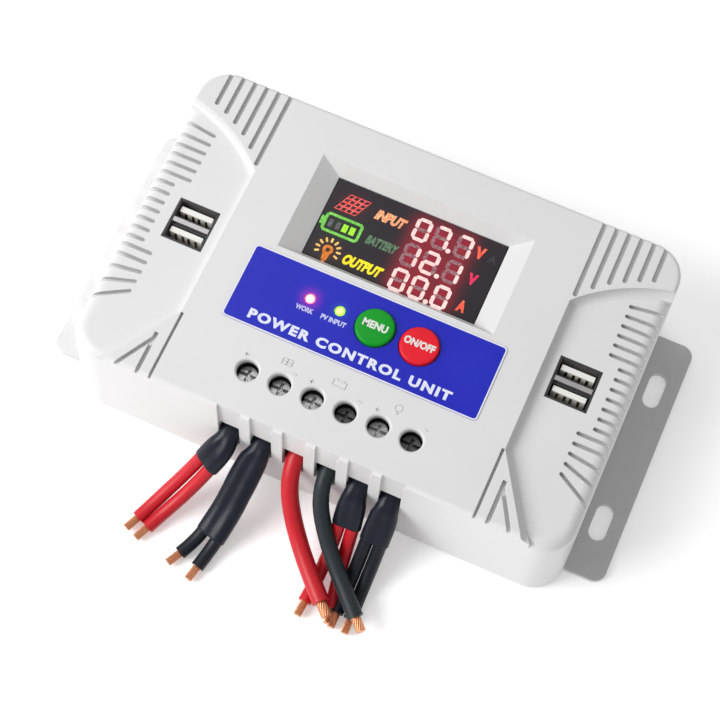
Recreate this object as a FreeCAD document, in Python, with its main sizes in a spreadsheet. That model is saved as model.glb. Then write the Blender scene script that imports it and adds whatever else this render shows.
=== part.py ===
import FreeCAD, Part

import math
import os
import re

import Sketcher

from FreeCAD import Placement, Rotation, Vector

# A wall-mounted solar charge controller lying on its back.
# Millimetres. X runs across the front label, Y towards its display, Z out of the face.
# The origin is the middle of the mounting plate's back.

DOC = FreeCAD.newDocument("charge_controller")
NODES = {}

# ---------------------------------------------------------------- driving dimensions

DIMENSIONS = {
    # mounting plate
    "plate_wide": 196.2, "plate_deep": 88.4, "plate_thick": 2.0, "plate_corner": 4.0,
    "under_wide": 167.0, "under_deep": 107.0, "under_corner": 10.0,
    "slot_across": 90.6, "slot_pitch": 50.0, "slot_long": 12.8, "slot_width": 5.8,
    # cover
    "cover_wide": 170.0, "cover_deep": 110.0, "cover_corner": 11.0, "cover_draft": 1.7,
    "plateau_top": 45.5, "wing_floor": 42.3, "wall": 2.4,
    "plateau_round": 1.4, "wing_round": 4.2, "cove_round": 2.6,
    "plateau_half": 54.2, "arc_start": 23.7, "arc_end_across": 83.0, "arc_end": 40.0,
    "arc_mid_across": 68.0, "arc_mid": 34.3, "apex_front": -30.1, "foot_across": 69.6,
    "foot_front": -55.0,
    "vent_pitch": 3.57, "vent_width": 1.3, "vent_depth": 1.7,
    "rib_pitch": 4.2, "rib_width": 1.5, "rib_depth": 1.5,
    "boss_across": 75.0, "boss_along": 42.0, "boss_round": 3.5, "cover_pilot": 1.5,
    # display recess, window and module
    "recess_wide": 73.4, "recess_front": 2.8, "recess_back": 38.3,
    "recess_wall": 2.0,
    "screen_wide": 59.4, "screen_front": 5.5, "screen_back": 35.05, "screen_top": 40.9,
    "screen_gap": 0.3, "filter_thick": 0.5, "module_bottom": 30.8,
    # label, buttons and lamps
    "label_wide": 85.6, "label_front": -25.8, "label_back": 0.55, "label_thick": 0.25,
    "label_corner": 1.5,
    "menu_across": 2.6, "power_across": 17.5, "button_along": -10.5,
    "button_hole": 6.6, "button_round": 6.3, "button_top": 47.0,
    "work_across": -19.7, "pv_across": -9.6, "lamp_along": -9.7,
    "lamp_round": 1.5, "lamp_hole": 1.75,
    # boards
    "board_wide": 134.0, "board_deep": 98.0, "board_bottom": 14.0, "board_thick": 1.6,
    "panel_wide": 96.0, "panel_front": -24.0, "panel_back": 38.0, "panel_bottom": 29.2,
    # terminals
    "pole_pitch": 10.92, "screw_along": -39.3, "access_round": 3.5,
    "block_wide": 68.4, "block_front": -51.0, "block_back": -31.4, "block_top": 42.0,
    "mouth_wide": 7.2, "mouth_bottom": 20.0, "mouth_top": 30.0,
    "shelf_bottom": 36.4, "shelf_top": 38.4, "thread_round": 1.95,
    "cage_wide": 8.4, "cage_deep": 7.6, "cage_bottom": 22.0, "cage_high": 13.2,
    "bar_bottom": 28.2, "bar_thick": 1.4, "pin_high": 25.7, "pin_round": 2.2,
    # USB sockets
    "usb_across": 65.4, "usb_along": -0.8, "usb_hole_wide": 14.0, "usb_hole_deep": 14.9,
    "usb_wide": 13.2, "usb_deep": 14.3, "usb_top": 42.0, "usb_bottom": 27.6,
    "port_along": 3.8, "tongue_shift": 0.55,
    # fixings under the boards
    "standoff_across": 60.0, "standoff_along": 44.0, "clamp_across": 56.0,
    "transistor_along": 30.0, "transistor_pitch": 18.0,
    # leads
    "pair_lead": 4.4, "battery_pos_lead": 5.7, "battery_neg_lead": 5.3,
}

SHEET = DOC.addObject("Spreadsheet::Sheet", "Dims")
for row, (alias, value) in enumerate(DIMENSIONS.items(), start=1):
    SHEET.set(f"A{row}", alias)
    SHEET.set(f"B{row}", str(value))
    SHEET.setAlias(f"B{row}", alias)
DOC.recompute()


def dim(alias):
    """Return one driving dimension from the sheet."""
    return float(SHEET.get(alias))


def sheet_expression(text):
    """Turn plain names in an expression into references to the sheet."""
    return re.sub(r"\b([a-z][a-z_]+)\b", r"Dims.\1", text)


def bind(feature, **properties):
    """Bind properties of a feature to expressions of the sheet's names."""
    for name, text in properties.items():
        feature.setExpression(name, sheet_expression(str(text)))


def place(feature, across="0", along="0", high="0"):
    """Bind a feature's position to expressions of the sheet's names."""
    for axis, text in (("x", across), ("y", along), ("z", high)):
        feature.setExpression(f".Placement.Base.{axis}", sheet_expression(str(text)))
    return feature


# ---------------------------------------------------------------- modelling helpers

def node(label, feature):
    """Register a finished sub-part under its node name."""
    DOC.recompute()
    feature.Label = label
    NODES[label] = feature
    return feature


def box(wide, deep, high, across="0", along="0", bottom="0"):
    """Part::Box centred across and along a point, standing on a height."""
    block = DOC.addObject("Part::Box", "Block")
    bind(block, Length=wide, Width=deep, Height=high)
    return place(block, f"({across}) - ({wide}) / 2", f"({along}) - ({deep}) / 2", bottom)


def cylinder(radius, high, across="0", along="0", bottom="0"):
    """Upright Part::Cylinder standing on a height."""
    rod = DOC.addObject("Part::Cylinder", "Rod")
    bind(rod, Radius=radius, Height=high)
    return place(rod, across, along, bottom)


def fuse(*features):
    """Join features into one solid."""
    joined = DOC.addObject("Part::MultiFuse", "Joined")
    joined.Shapes = list(features)
    joined.Refine = False
    return joined


def group(*features):
    """Keep separate solids together in one shape."""
    together = DOC.addObject("Part::Compound", "Group")
    together.Links = list(features)
    return together


def cut(base, *tools):
    """Cut tools out of a base solid."""
    result = DOC.addObject("Part::Cut", "Cut")
    result.Base = base
    result.Tool = tools[0] if len(tools) == 1 else group(*tools)
    return result


def common(base, tool):
    """Keep what two solids share."""
    result = DOC.addObject("Part::Common", "Shared")
    result.Base = base
    result.Tool = tool
    return result


def fixed_shape(name, shape):
    """Part::Feature for a shape that the document's own booleans can't build."""
    feature = DOC.addObject("Part::Feature", name)
    feature.Shape = shape
    return feature


def mirrored(feature):
    """Mirror a feature in the plane across X."""
    twin = DOC.addObject("Part::Mirroring", "Mirrored")
    twin.Source = feature
    twin.Normal = Vector(1, 0, 0)
    twin.Base = Vector(0, 0, 0)
    return twin


def body(name):
    """Start a PartDesign body."""
    return DOC.addObject("PartDesign::Body", name)


def sketch(owner, height="0", plane="XY_Plane"):
    """Start a sketch on one of a body's own planes, lifted along the plane's normal."""
    drawing = owner.newObject("Sketcher::SketchObject", "Outline")
    origin_plane = next(f for f in owner.Origin.OriginFeatures if f.Role == plane)
    drawing.AttachmentSupport = [(origin_plane, "")]
    drawing.MapMode = "FlatFace"
    drawing.setExpression(".AttachmentOffset.Base.z", sheet_expression(height))
    return drawing


def value_of(text):
    """Work an expression of sheet names out as a number."""
    return float(SHEET.evalExpression(text))


def limit(drawing, kind, *places_and_text):
    """Add a dimension to a sketch and bind it to an expression."""
    *places, text = places_and_text
    number = drawing.addConstraint(Sketcher.Constraint(kind, *places, value_of(text)))
    drawing.setExpression(f"Constraints[{number}]", sheet_expression(text))


def rectangle(drawing, wide, deep, across="0", along="0"):
    """Draw a fully constrained rectangle centred on a point."""
    half_wide, half_deep = value_of(wide) / 2, value_of(deep) / 2
    middle = Vector(value_of(across), value_of(along))
    corners = [middle + Vector(sx * half_wide, sy * half_deep)
               for sx, sy in ((-1, -1), (1, -1), (1, 1), (-1, 1))]
    first = drawing.GeometryCount
    for start, end in zip(corners, corners[1:] + corners[:1]):
        drawing.addGeometry(Part.LineSegment(start, end), False)
    for side in range(4):
        following = first + (side + 1) % 4
        drawing.addConstraint(Sketcher.Constraint("Coincident", first + side, 2, following, 1))
        direction = "Horizontal" if side % 2 == 0 else "Vertical"
        drawing.addConstraint(Sketcher.Constraint(direction, first + side))
    limit(drawing, "DistanceX", first, 1, first, 2, wide)
    limit(drawing, "DistanceY", first + 1, 1, first + 1, 2, deep)
    limit(drawing, "DistanceX", -1, 1, first, 1, f"({across}) - ({wide}) / 2")
    limit(drawing, "DistanceY", -1, 1, first, 1, f"({along}) - ({deep}) / 2")


def circle(drawing, radius, across="0", along="0"):
    """Draw a constrained circle."""
    centre = Vector(value_of(across), value_of(along))
    ring = drawing.addGeometry(Part.Circle(centre, Vector(0, 0, 1), value_of(radius)), False)
    limit(drawing, "Radius", ring, radius)
    limit(drawing, "DistanceX", -1, 1, ring, 3, across)
    limit(drawing, "DistanceY", -1, 1, ring, 3, along)


def slot(drawing, width, length, across, along):
    """Draw a slot that runs along the sketch's vertical axis."""
    radius, half = value_of(width) / 2, (value_of(length) - value_of(width)) / 2
    middle = Vector(value_of(across), value_of(along))
    shift, side = Vector(0, half), Vector(radius, 0)
    ends = []
    for sign, start in ((1, 0.0), (-1, math.pi)):
        ring = Part.Circle(middle + shift * sign, Vector(0, 0, 1), radius)
        ends.append(drawing.addGeometry(Part.ArcOfCircle(ring, start, start + math.pi), False))
        limit(drawing, "Radius", ends[-1], f"({width}) / 2")
        limit(drawing, "DistanceX", -1, 1, ends[-1], 3, across)
        limit(drawing, "DistanceY", -1, 1, ends[-1], 3,
              f"({along}) + {sign} * (({length}) - ({width})) / 2")
    left = drawing.addGeometry(Part.LineSegment(middle - side + shift, middle - side - shift))
    right = drawing.addGeometry(Part.LineSegment(middle + side - shift, middle + side + shift))
    for line, start_arc, end_arc in ((left, ends[0], ends[1]), (right, ends[1], ends[0])):
        drawing.addConstraint(Sketcher.Constraint("Tangent", start_arc, 2, line, 1))
        drawing.addConstraint(Sketcher.Constraint("Tangent", line, 2, end_arc, 1))


def pad(owner, drawing, length, draft=None):
    """Pad a sketch upwards, with an optional inward draft in degrees."""
    feature = owner.newObject("PartDesign::Pad", "Pad")
    feature.Profile = drawing
    bind(feature, Length=length)
    if draft is not None:
        bind(feature, TaperAngle=f"0 - {draft}")
    DOC.recompute()
    return feature


def pocket(owner, drawing, length):
    """Pocket a sketch that lies on the solid's underside, upwards through it."""
    before = owner.Tip.Shape.Volume
    feature = owner.newObject("PartDesign::Pocket", "Pocket")
    feature.Profile = drawing
    feature.Reversed = True
    bind(feature, Length=length)
    DOC.recompute()
    if not feature.Shape.Volume < before:
        raise ValueError(f"a pocket in {owner.Name} cuts nothing")
    return feature


def round_edges(owner, radius, wanted):
    """Fillet the edges of a body's last feature that a test picks out."""
    base = owner.Tip
    names = [f"Edge{i}" for i, edge in enumerate(base.Shape.Edges, start=1) if wanted(edge)]
    if not names:
        raise ValueError(f"no edge to round in {owner.Name}")
    feature = owner.newObject("PartDesign::Fillet", "Fillet")
    feature.Base = (base, names)
    bind(feature, Radius=radius)
    DOC.recompute()
    return feature


def is_upright(edge):
    """Tell whether an edge runs mainly along Z."""
    extent = edge.BoundBox
    return extent.ZLength > 5 * max(extent.XLength, extent.YLength)


def at_height(height):
    """Make a test for edges that lie flat at one height."""
    return lambda edge: abs(edge.BoundBox.ZMin - height) < 0.01 and edge.BoundBox.ZLength < 0.01


def rounded_block(name, wide, deep, corner, bottom, high, draft=None):
    """Body with a rounded rectangular outline, padded from one height."""
    block = body(name)
    outline = sketch(block, bottom)
    rectangle(outline, wide, deep)
    pad(block, outline, high, draft)
    round_edges(block, corner, is_upright)
    return block


def pole_across(pole):
    """Expression for a terminal's position across the front, poles 0 to 5."""
    return f"({pole} - 2.5) * pole_pitch"


# ---------------------------------------------------------------- mounting plate

def make_mounting_plate():
    """Sheet-metal back with four ears' slots, standoff seats and cover screw holes."""
    plate = body("MountingPlate")
    ears = sketch(plate)
    rectangle(ears, "plate_wide", "plate_deep")
    pad(plate, ears, "plate_thick")
    round_edges(plate, "plate_corner", is_upright)
    slots = sketch(plate)
    for side in ("-", ""):
        for end in ("-", ""):
            slot(slots, "slot_width", "slot_long", f"{side}slot_across", f"{end}slot_pitch / 2")
    pocket(plate, slots, "plate_thick")
    under = rounded_block("UnderPlate", "under_wide", "under_deep", "under_corner",
                          "0", "plate_thick")
    holes = []
    for across, along in corner_points("boss_across", "boss_along"):
        holes.append(cylinder("cover_pilot", "plate_thick", across, along))
        holes.append(countersink(across, along))
    for across, along in corner_points("standoff_across", "standoff_along"):
        holes.append(cylinder("2", "plate_thick", across, along))
    for across in ("-clamp_across", "clamp_across"):
        holes.append(cylinder("1.25", "plate_thick", across, "transistor_along"))
    node("mounting_plate", cut(fuse(plate, under), *holes))


def corner_points(across, along):
    """Four mirrored positions as expressions."""
    return [(f"{sx}{across}", f"{sy}{along}") for sx in ("-", "") for sy in ("-", "")]


def countersink(across, along):
    """Cone that a countersunk head fills from the plate's back."""
    cone = DOC.addObject("Part::Cone", "Countersink")
    bind(cone, Radius1="2.8", Radius2="cover_pilot", Height="1.3")
    return place(cone, across, along, "0")


# ---------------------------------------------------------------- cover

def wing_region(name, grow, bottom, high):
    """Prism over one side wing: straight wall, back arc and slanted front wall."""
    prism = body(name)
    outline = sketch(prism, bottom)
    inner = dim("plateau_half") + grow
    apex = Vector(inner, dim("apex_front") + grow * 0.3)
    slope = (dim("foot_across") - dim("plateau_half")) / (dim("apex_front") - dim("foot_front"))
    front = dim("foot_front") - 8
    foot = Vector(apex.x + slope * (apex.y - front), front)
    start = Vector(inner, dim("arc_start") - grow * 0.4)
    middle = Vector(dim("arc_mid_across"), dim("arc_mid") - grow)
    end = Vector(dim("arc_end_across") + 12, dim("arc_end") + 1.2 - grow)
    far = Vector(end.x, front)
    outline.addGeometry(Part.LineSegment(apex, start), False)
    outline.addGeometry(Part.Arc(start, middle, end), False)
    outline.addGeometry(Part.LineSegment(end, far), False)
    outline.addGeometry(Part.LineSegment(far, foot), False)
    outline.addGeometry(Part.LineSegment(foot, apex), False)
    pad(prism, outline, high)
    return prism


def wing_tool(side_label):
    """Cutter for a wing: its lower edges along the plateau leave a concave cove."""
    tool = wing_region(side_label, 0.0, "wing_floor", "12")
    floor = dim("wing_floor")
    bend = at_height(floor)
    reach = dim("cover_wide") / 2 + 1
    round_edges(tool, "cove_round",
                lambda edge: bend(edge) and edge.BoundBox.XMin < reach
                and edge.BoundBox.YMax > dim("foot_front") - 7.5)
    return tool


def make_vents():
    """Grooves across a wing to its outer edge: a back, a middle and a front group."""
    groups = (
        # first along, inner end, how each groove turns away from X, in degrees
        (31.0, 72.5, (8, 2, 0, 0, 0, 0)),
        (9.6, 76.8, (0, 0, 0, 0, 0, 0, 0)),
        (-15.1, 72.6, (0, 0, -8, -18, -30)),
    )
    grooves = []
    for first, inner, turns in groups:
        for number, turn in enumerate(turns):
            along = f"{first} - {number} * vent_pitch"
            grooves.append(groove(str(inner), along, "18", turn))
    return grooves


def groove(across, along, length, turn):
    """Round-ended cutter that starts at a point on a wing and runs outwards."""
    run = box(length, "vent_width", "6", f"({length}) / 2", "0", "wing_floor - vent_depth")
    tip = cylinder("vent_width / 2", "6", "0", "0", "wing_floor - vent_depth")
    cutter = fuse(run, tip)
    cutter.Placement = Placement(Vector(), Rotation(Vector(0, 0, 1), turn))
    return place(cutter, across, along)


def make_ribs():
    """Grooves over a back corner, each ending just behind the wing's arc."""
    grooves = []
    for number, end in enumerate((26.2, 30.8, 34.4, 37.0, 39.2, 41.0)):
        across = f"plateau_half + {number} * rib_pitch + rib_width / 2"
        bottom = "plateau_top - rib_depth"
        run = box("rib_width", "40", "6", across, f"{end} + 20", bottom)
        tip = cylinder("rib_width / 2", "6", across, str(end), bottom)
        grooves.append(fuse(run, tip))
    return grooves


def front_strip(start_across, start_along, end_across, end_along, width):
    """Cutter for one straight groove of the slanted pattern beside a front foot."""
    span = Vector(end_across - start_across, end_along - start_along)
    run = DOC.addObject("Part::Box", "Strip")
    bind(run, Length=str(round(span.Length, 3)), Width=str(width), Height="6")
    turn = math.degrees(math.atan2(span.y, span.x))
    run.Placement = Placement(Vector(), Rotation(Vector(0, 0, 1), turn))
    return place(run, str(start_across), str(start_along), "plateau_top - rib_depth")


def make_foot_grooves():
    """Plateau-edge groove and the open A of grooves on the slanted front corner."""
    return [
        front_strip(54.1, -57.0, 54.1, -30.2, 0.9),
        front_strip(58.6, -57.0, 58.6, -39.4, 1.3),
        front_strip(67.6, -57.0, 58.5, -41.1, 1.3),
    ]


def frustum(name, lower, upper, bottom, top):
    """Ruled solid between two level rectangles (wide, front, back)."""
    wires = []
    for (wide, front, back), height in ((lower, bottom), (upper, top)):
        corners = [Vector(-wide / 2, front, height), Vector(wide / 2, front, height),
                   Vector(wide / 2, back, height), Vector(-wide / 2, back, height)]
        wires.append(Part.makePolygon(corners + corners[:1]))
    return fixed_shape(name, Part.makeLoft(wires, True, True))


def make_terminal_front():
    """Cutters for the six wire mouths and the shallow notches above them."""
    cutters = []
    for pole in range(6):
        across = pole_across(pole)
        cutters.append(box("mouth_wide", "8", "mouth_top - mouth_bottom", across,
                           "-cover_deep / 2", "mouth_bottom"))
        cutters.append(box("mouth_wide", "8", "plateau_top - mouth_top - 4", across,
                           "-cover_deep / 2 - 1.9", "mouth_top"))
        cutters.append(box("mouth_wide + 0.7", "8", "5", f"{across} + 0.35",
                           "-cover_deep / 2 - 1.9", "plateau_top - 4"))
    return cutters


def make_cover():
    """Moulded cover: plateau, two wings, recess, mouths, holes, grooves and bosses."""
    high = "plateau_top - plate_thick"
    full = rounded_block("CoverFull", "cover_wide", "cover_deep", "cover_corner",
                         "plate_thick", high, "cover_draft")
    round_edges(full, "plateau_round", at_height(dim("plateau_top")))
    low = rounded_block("CoverLow", "cover_wide", "cover_deep", "cover_corner",
                        "plate_thick", "wing_floor - plate_thick", "cover_draft")
    round_edges(low, "wing_round", at_height(dim("wing_floor")))
    right_tool = wing_tool("WingTool")
    left_tool = mirrored(right_tool)
    stepped = cut(full, right_tool, left_tool)
    right_area = wing_region("WingArea", dim("cove_round"), "wing_floor - 8", "20")
    plateau = cut(stepped, right_area, mirrored(right_area))
    slab = box("200", "130", "20", "0", "0", "wing_floor - 8")
    raised = common(plateau, slab)
    DOC.recompute()
    outer = fixed_shape("CoverOuter", low.Shape.fuse(raised.Shape))

    inner_low = rounded_block("InnerLow", "cover_wide - 2 * wall", "cover_deep - 2 * wall",
                              "cover_corner - wall", "plate_thick",
                              "wing_floor - plate_thick - wall", "cover_draft")
    inner_high = box("2 * plateau_half - 2 * wall", "cover_deep - 2 * wall - 3", "5",
                     "0", "0", "plateau_top - wall - 5")
    hollow = cut(outer, inner_low, inner_high)

    inside = [box("recess_wide + 3", "recess_back - recess_front + 3",
                  "plateau_top - screen_top + recess_wall - wall / 2", "0",
                  "(recess_back + recess_front) / 2", "screen_top - recess_wall")]
    for across, along in corner_points("boss_across", "boss_along"):
        inside.append(cylinder("boss_round", "wing_floor - plate_thick - wall / 2",
                               across, along, "plate_thick"))
    for across, along in panel_points():
        inside.append(cylinder("2.8", "plateau_top - wall / 2 - panel_bottom - board_thick",
                               across, along, "panel_bottom + board_thick"))
    solid = fuse(hollow, *inside)

    tools = make_terminal_front()
    tools.append(frustum("RecessTool",
                         (dim("screen_wide"), dim("screen_front"), dim("screen_back")),
                         (dim("recess_wide"), dim("recess_front"), dim("recess_back")),
                         dim("screen_top"), dim("plateau_top")))
    tools.append(box("recess_wide", "recess_back - recess_front", "3", "0",
                     "(recess_back + recess_front) / 2", "plateau_top"))
    tools.append(box("screen_wide", "screen_back - screen_front", "6", "0",
                     "(screen_back + screen_front) / 2", "screen_top - 5"))
    for across in ("menu_across", "power_across"):
        tools.append(cylinder("button_hole", "10", across, "button_along", "plateau_top - 6"))
    for across in ("work_across", "pv_across"):
        tools.append(cylinder("lamp_hole", "10", across, "lamp_along", "plateau_top - 6"))
    for pole in range(6):
        across = pole_across(pole)
        tools.append(cylinder("access_round", "8", across, "screw_along", "plateau_top - 6"))
        rim = DOC.addObject("Part::Cone", "Rim")
        bind(rim, Radius1="access_round", Radius2="access_round + 0.5", Height="0.5")
        tools.append(place(rim, across, "screw_along", "plateau_top - 0.5 + 0.01"))
    for side in ("-", ""):
        tools.append(box("usb_hole_wide", "usb_hole_deep", "10", f"{side}usb_across",
                         "usb_along", "wing_floor - 6"))
    for across, along in corner_points("boss_across", "boss_along"):
        tools.append(cylinder("cover_pilot", "14", across, along, "plate_thick"))
    for across, along in panel_points():
        tools.append(cylinder("1.1", "8", across, along, "panel_bottom + board_thick"))
    right_grooves = group(*make_vents(), *make_ribs(), *make_foot_grooves())
    tools += [right_grooves, mirrored(right_grooves)]
    node("top_cover", cut(solid, *tools))


def panel_points():
    """Four positions where the display board hangs from the cover."""
    return [(across, along) for across in ("-panel_wide / 2 + 3.5", "panel_wide / 2 - 3.5")
            for along in ("panel_front + 3.5", "panel_back - 3.5")]


# ---------------------------------------------------------------- front label, buttons, lamps

def make_label():
    """Printed front label with holes for the buttons and lamps."""
    label = body("FaceLabel")
    outline = sketch(label, "plateau_top")
    rectangle(outline, "label_wide", "label_back - label_front", "0",
              "(label_back + label_front) / 2")
    pad(label, outline, "label_thick")
    round_edges(label, "label_corner", is_upright)
    holes = sketch(label, "plateau_top")
    for across in ("menu_across", "power_across"):
        circle(holes, "button_hole", across, "button_along")
    for across in ("work_across", "pv_across"):
        circle(holes, "lamp_hole", across, "lamp_along")
    pocket(label, holes, "label_thick")
    node("face_label", label)


def revolve(name, points, across, along):
    """Body turned about an upright axis from a closed half profile (radius, height)."""
    turned = body(name)
    profile = sketch(turned, "0", "XZ_Plane")
    corners = [Vector(radius, height) for radius, height in points]
    for start, end in zip(corners, corners[1:] + corners[:1]):
        profile.addGeometry(Part.LineSegment(start, end), False)
    feature = turned.newObject("PartDesign::Revolution", "Revolution")
    feature.Profile = profile
    feature.ReferenceAxis = (profile, ["V_Axis"])
    feature.Angle = 360
    DOC.recompute()
    return place(turned, across, along)


def make_button(name, across):
    """Round push button: crowned cap, retaining flange and a stem, with its plunger."""
    top, radius = dim("button_top"), dim("button_round")
    flange_top = dim("plateau_top") - dim("wall") - 0.2
    profile = [(0, 37.5), (2.0, 37.5), (2.0, 41.2), (7.4, 41.2), (7.4, flange_top),
               (radius, flange_top), (radius, top - 0.7), (radius - 0.7, top - 0.15),
               (radius - 2.0, top), (0, top)]
    node(f"{name}_button", revolve(f"{name}Button", profile, across, "button_along"))
    plunger = [(0, 33.6), (1.7, 33.6), (1.7, 37.5), (0, 37.5)]
    node(f"{name}_plunger", revolve(f"{name}Plunger", plunger, across, "button_along"))


def make_switches():
    """Tactile switch cases on the display board, each with a well for its plunger."""
    cases = []
    board_top = "panel_bottom + board_thick"
    for across in ("menu_across", "power_across"):
        case = box("6.2", "6.2", "4.2", across, "button_along", board_top)
        well = cylinder("1.9", "4", across, "button_along", "32.4")
        cases.append(cut(case, well))
    node("tact_switches", group(*cases))


def make_lamp(name, across):
    """Three-millimetre lamp: dome, body, collar and two legs down to the board."""
    radius, top = dim("lamp_round"), dim("plateau_top") + 0.9
    dome = DOC.addObject("Part::Sphere", "Dome")
    bind(dome, Radius="lamp_round")
    place(dome, across, "lamp_along", str(top - radius))
    shell = cylinder("lamp_round", str(top - radius - 41), across, "lamp_along", "41")
    collar = cylinder("lamp_round + 0.4", "1", across, "lamp_along", "40")
    legs = [box("0.5", "0.5", "9.4", f"{across} + {shift}", "lamp_along", "30.8")
            for shift in (-0.635, 0.635)]
    node(name, fuse(shell, dome, collar, *legs))


# ---------------------------------------------------------------- display and boards

def make_display():
    """Smoked film over the numeric display block, and the block itself."""
    deep = "screen_back - screen_front - 2 * screen_gap"
    wide, along = "screen_wide - 2 * screen_gap", "(screen_back + screen_front) / 2"
    film = body("DisplayFilm")
    outline = sketch(film, "screen_top - filter_thick")
    rectangle(outline, wide, deep, "0", along)
    pad(film, outline, "filter_thick")
    node("display_filter", film)
    block = box(wide, deep, "screen_top - filter_thick - module_bottom - 0.9", "0", along,
                "module_bottom + 0.9")
    feet = [box("1.2", "24", "0.9", f"{side} * 27", along, "module_bottom")
            for side in (-1, 1)]
    node("display_module", fuse(block, *feet))


def make_display_board():
    """Board behind the cover's face, carrying the display, switches and lamps."""
    board = body("DisplayBoard")
    outline = sketch(board, "panel_bottom")
    rectangle(outline, "panel_wide", "panel_back - panel_front", "0",
              "(panel_back + panel_front) / 2")
    pad(board, outline, "board_thick")
    holes = sketch(board, "panel_bottom")
    for across, along in panel_points():
        circle(holes, "1.3", across, along)
    pocket(board, holes, "board_thick")
    node("display_board", board)


def make_main_board():
    """Main board, with holes for its standoffs and slots for the contact bars."""
    board = body("MainBoard")
    outline = sketch(board, "board_bottom")
    rectangle(outline, "board_wide", "board_deep")
    pad(board, outline, "board_thick")
    round_edges(board, "2", is_upright)
    holes = sketch(board, "board_bottom")
    for across, along in corner_points("standoff_across", "standoff_along"):
        circle(holes, "1.6", across, along)
    for pole in range(6):
        rectangle(holes, "6.2", "1.4", pole_across(pole), "screw_along + 5.3")
    pocket(board, holes, "board_thick")
    node("main_board", board)


def hexagon(width, high, across, along, bottom):
    """Upright hexagonal prism of one width across flats."""
    prism = DOC.addObject("Part::Prism", "Hexagon")
    bind(prism, Circumradius=f"{width / math.sqrt(3):.4f}", Height=high)
    return place(prism, across, along, bottom)


def make_fixings():
    """Hexagonal standoffs and every screw, in groups of identical or like pieces."""
    posts = []
    screws = []
    for across, along in corner_points("standoff_across", "standoff_along"):
        post = fuse(hexagon(5.5, "board_bottom - plate_thick", across, along, "plate_thick"),
                    cylinder("1.95", "plate_thick", across, along))
        posts.append(cut(post, cylinder("1.5", "9", across, along, "board_bottom - 7")))
        screws.append(pan_screw(across, along, 1.4, "6.5", "board_bottom + board_thick"))
    node("board_standoffs", group(*posts))
    for across, along in panel_points():
        screws.append(pan_screw_up(across, along))
    for side in ("-", ""):
        screws.append(pan_screw(f"{side}clamp_across", "transistor_along", 1.2,
                                "7.6", "plate_thick + 7.6"))
    node("board_screws", group(*screws))
    cover_screws = []
    for across, along in corner_points("boss_across", "boss_along"):
        shank = cylinder("cover_pilot - 0.1", "13", across, along, "0.2")
        head = DOC.addObject("Part::Cone", "Head")
        bind(head, Radius1="2.7", Radius2="cover_pilot - 0.1", Height="1.2")
        place(head, across, along, "0")
        slot_cut = box("6", "0.7", "0.6", across, along, "-0.01")
        cover_screws.append(cut(fuse(shank, head), slot_cut))
    node("cover_screws", group(*cover_screws))


def pan_screw(across, along, shank, length, seat):
    """Pan-headed screw driven downwards, with a cross recess cut as two slots."""
    body_rod = cylinder(str(shank), length, across, along, f"{seat} - {length}")
    head = cylinder(str(2 * shank), "1.8", across, along, seat)
    recess = [box(wide, deep, "1.2", across, along, f"{seat} + 0.9")
              for wide, deep in (("2.6", "0.6"), ("0.6", "2.6"))]
    return cut(fuse(body_rod, head), fuse(*recess))


def pan_screw_up(across, along):
    """Small pan-headed screw that hangs the display board from the cover."""
    rod = cylinder("1", "7", across, along, "panel_bottom")
    head = cylinder("2", "1.5", across, along, "panel_bottom - 1.5")
    return fuse(rod, head)


def make_power_stage():
    """Six transistors on a thermal pad under a clamp bar, then the tall components."""
    node("thermal_pad", box("106", "20", "0.4", "0", "transistor_along - 2", "plate_thick"))
    cases = []
    for place_number in range(6):
        across = f"({place_number} - 2.5) * transistor_pitch"
        base = "plate_thick + 0.4"
        pieces = [box("10", "9", "4.4", across, "transistor_along - 1", base),
                  box("10", "6.5", "1.3", across, "transistor_along + 6.5", base)]
        for leg in (-1, 0, 1):
            leg_across = f"{across} + {leg} * 2.54"
            pieces.append(box("0.8", "5", "0.6", leg_across, "transistor_along - 7.7",
                              f"{base} + 2"))
            pieces.append(box("0.8", "0.6", "9.6", leg_across, "transistor_along - 9.9",
                              f"{base} + 2"))
        cases.append(fuse(*pieces))
    node("power_transistors", group(*cases))
    bar = box("2 * clamp_across + 8", "7", "2.6", "0", "transistor_along - 1",
              "plate_thick + 5")
    holes = [cylinder("1.4", "10", f"{side}clamp_across", "transistor_along", "plate_thick")
             for side in ("-", "")]
    node("clamp_bar", cut(bar, *holes))
    board_top = "board_bottom + board_thick"
    cans = []
    for side in ("-", ""):
        can = body("Capacitor")
        drawing = sketch(can, board_top)
        circle(drawing, "8", f"{side}57", "30")
        pad(can, drawing, "20")
        round_edges(can, "0.8", lambda edge: edge.BoundBox.ZMin > 35)
        cans.append(can)
    node("filter_capacitors", group(*cans))
    ring = cut(cylinder("9", "9", "-57", "-30", board_top),
               cylinder("4.2", "9", "-57", "-30", board_top))
    rounded = DOC.addObject("Part::Fillet", "RoundedRing")
    rounded.Base = ring
    DOC.recompute()
    rounded.Edges = [(number, 1.6, 1.6) for number, edge in enumerate(ring.Shape.Edges, 1)
                     if edge.BoundBox.ZLength < 0.01]
    node("choke_coil", rounded)
    chips = [box("14", "10", "2.2", "-15", "12", board_top),
             box("7", "6", "1.8", "12", "14", board_top),
             box("7", "6", "1.8", "26", "-4", board_top),
             box("9", "12", "3", "57", "-30", board_top)]
    node("control_chips", group(*chips))
    pins = box("25.4", "2.5", "panel_bottom - board_bottom - board_thick", "0", "28",
               board_top)
    node("board_connector", pins)


# ---------------------------------------------------------------- USB sockets

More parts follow.
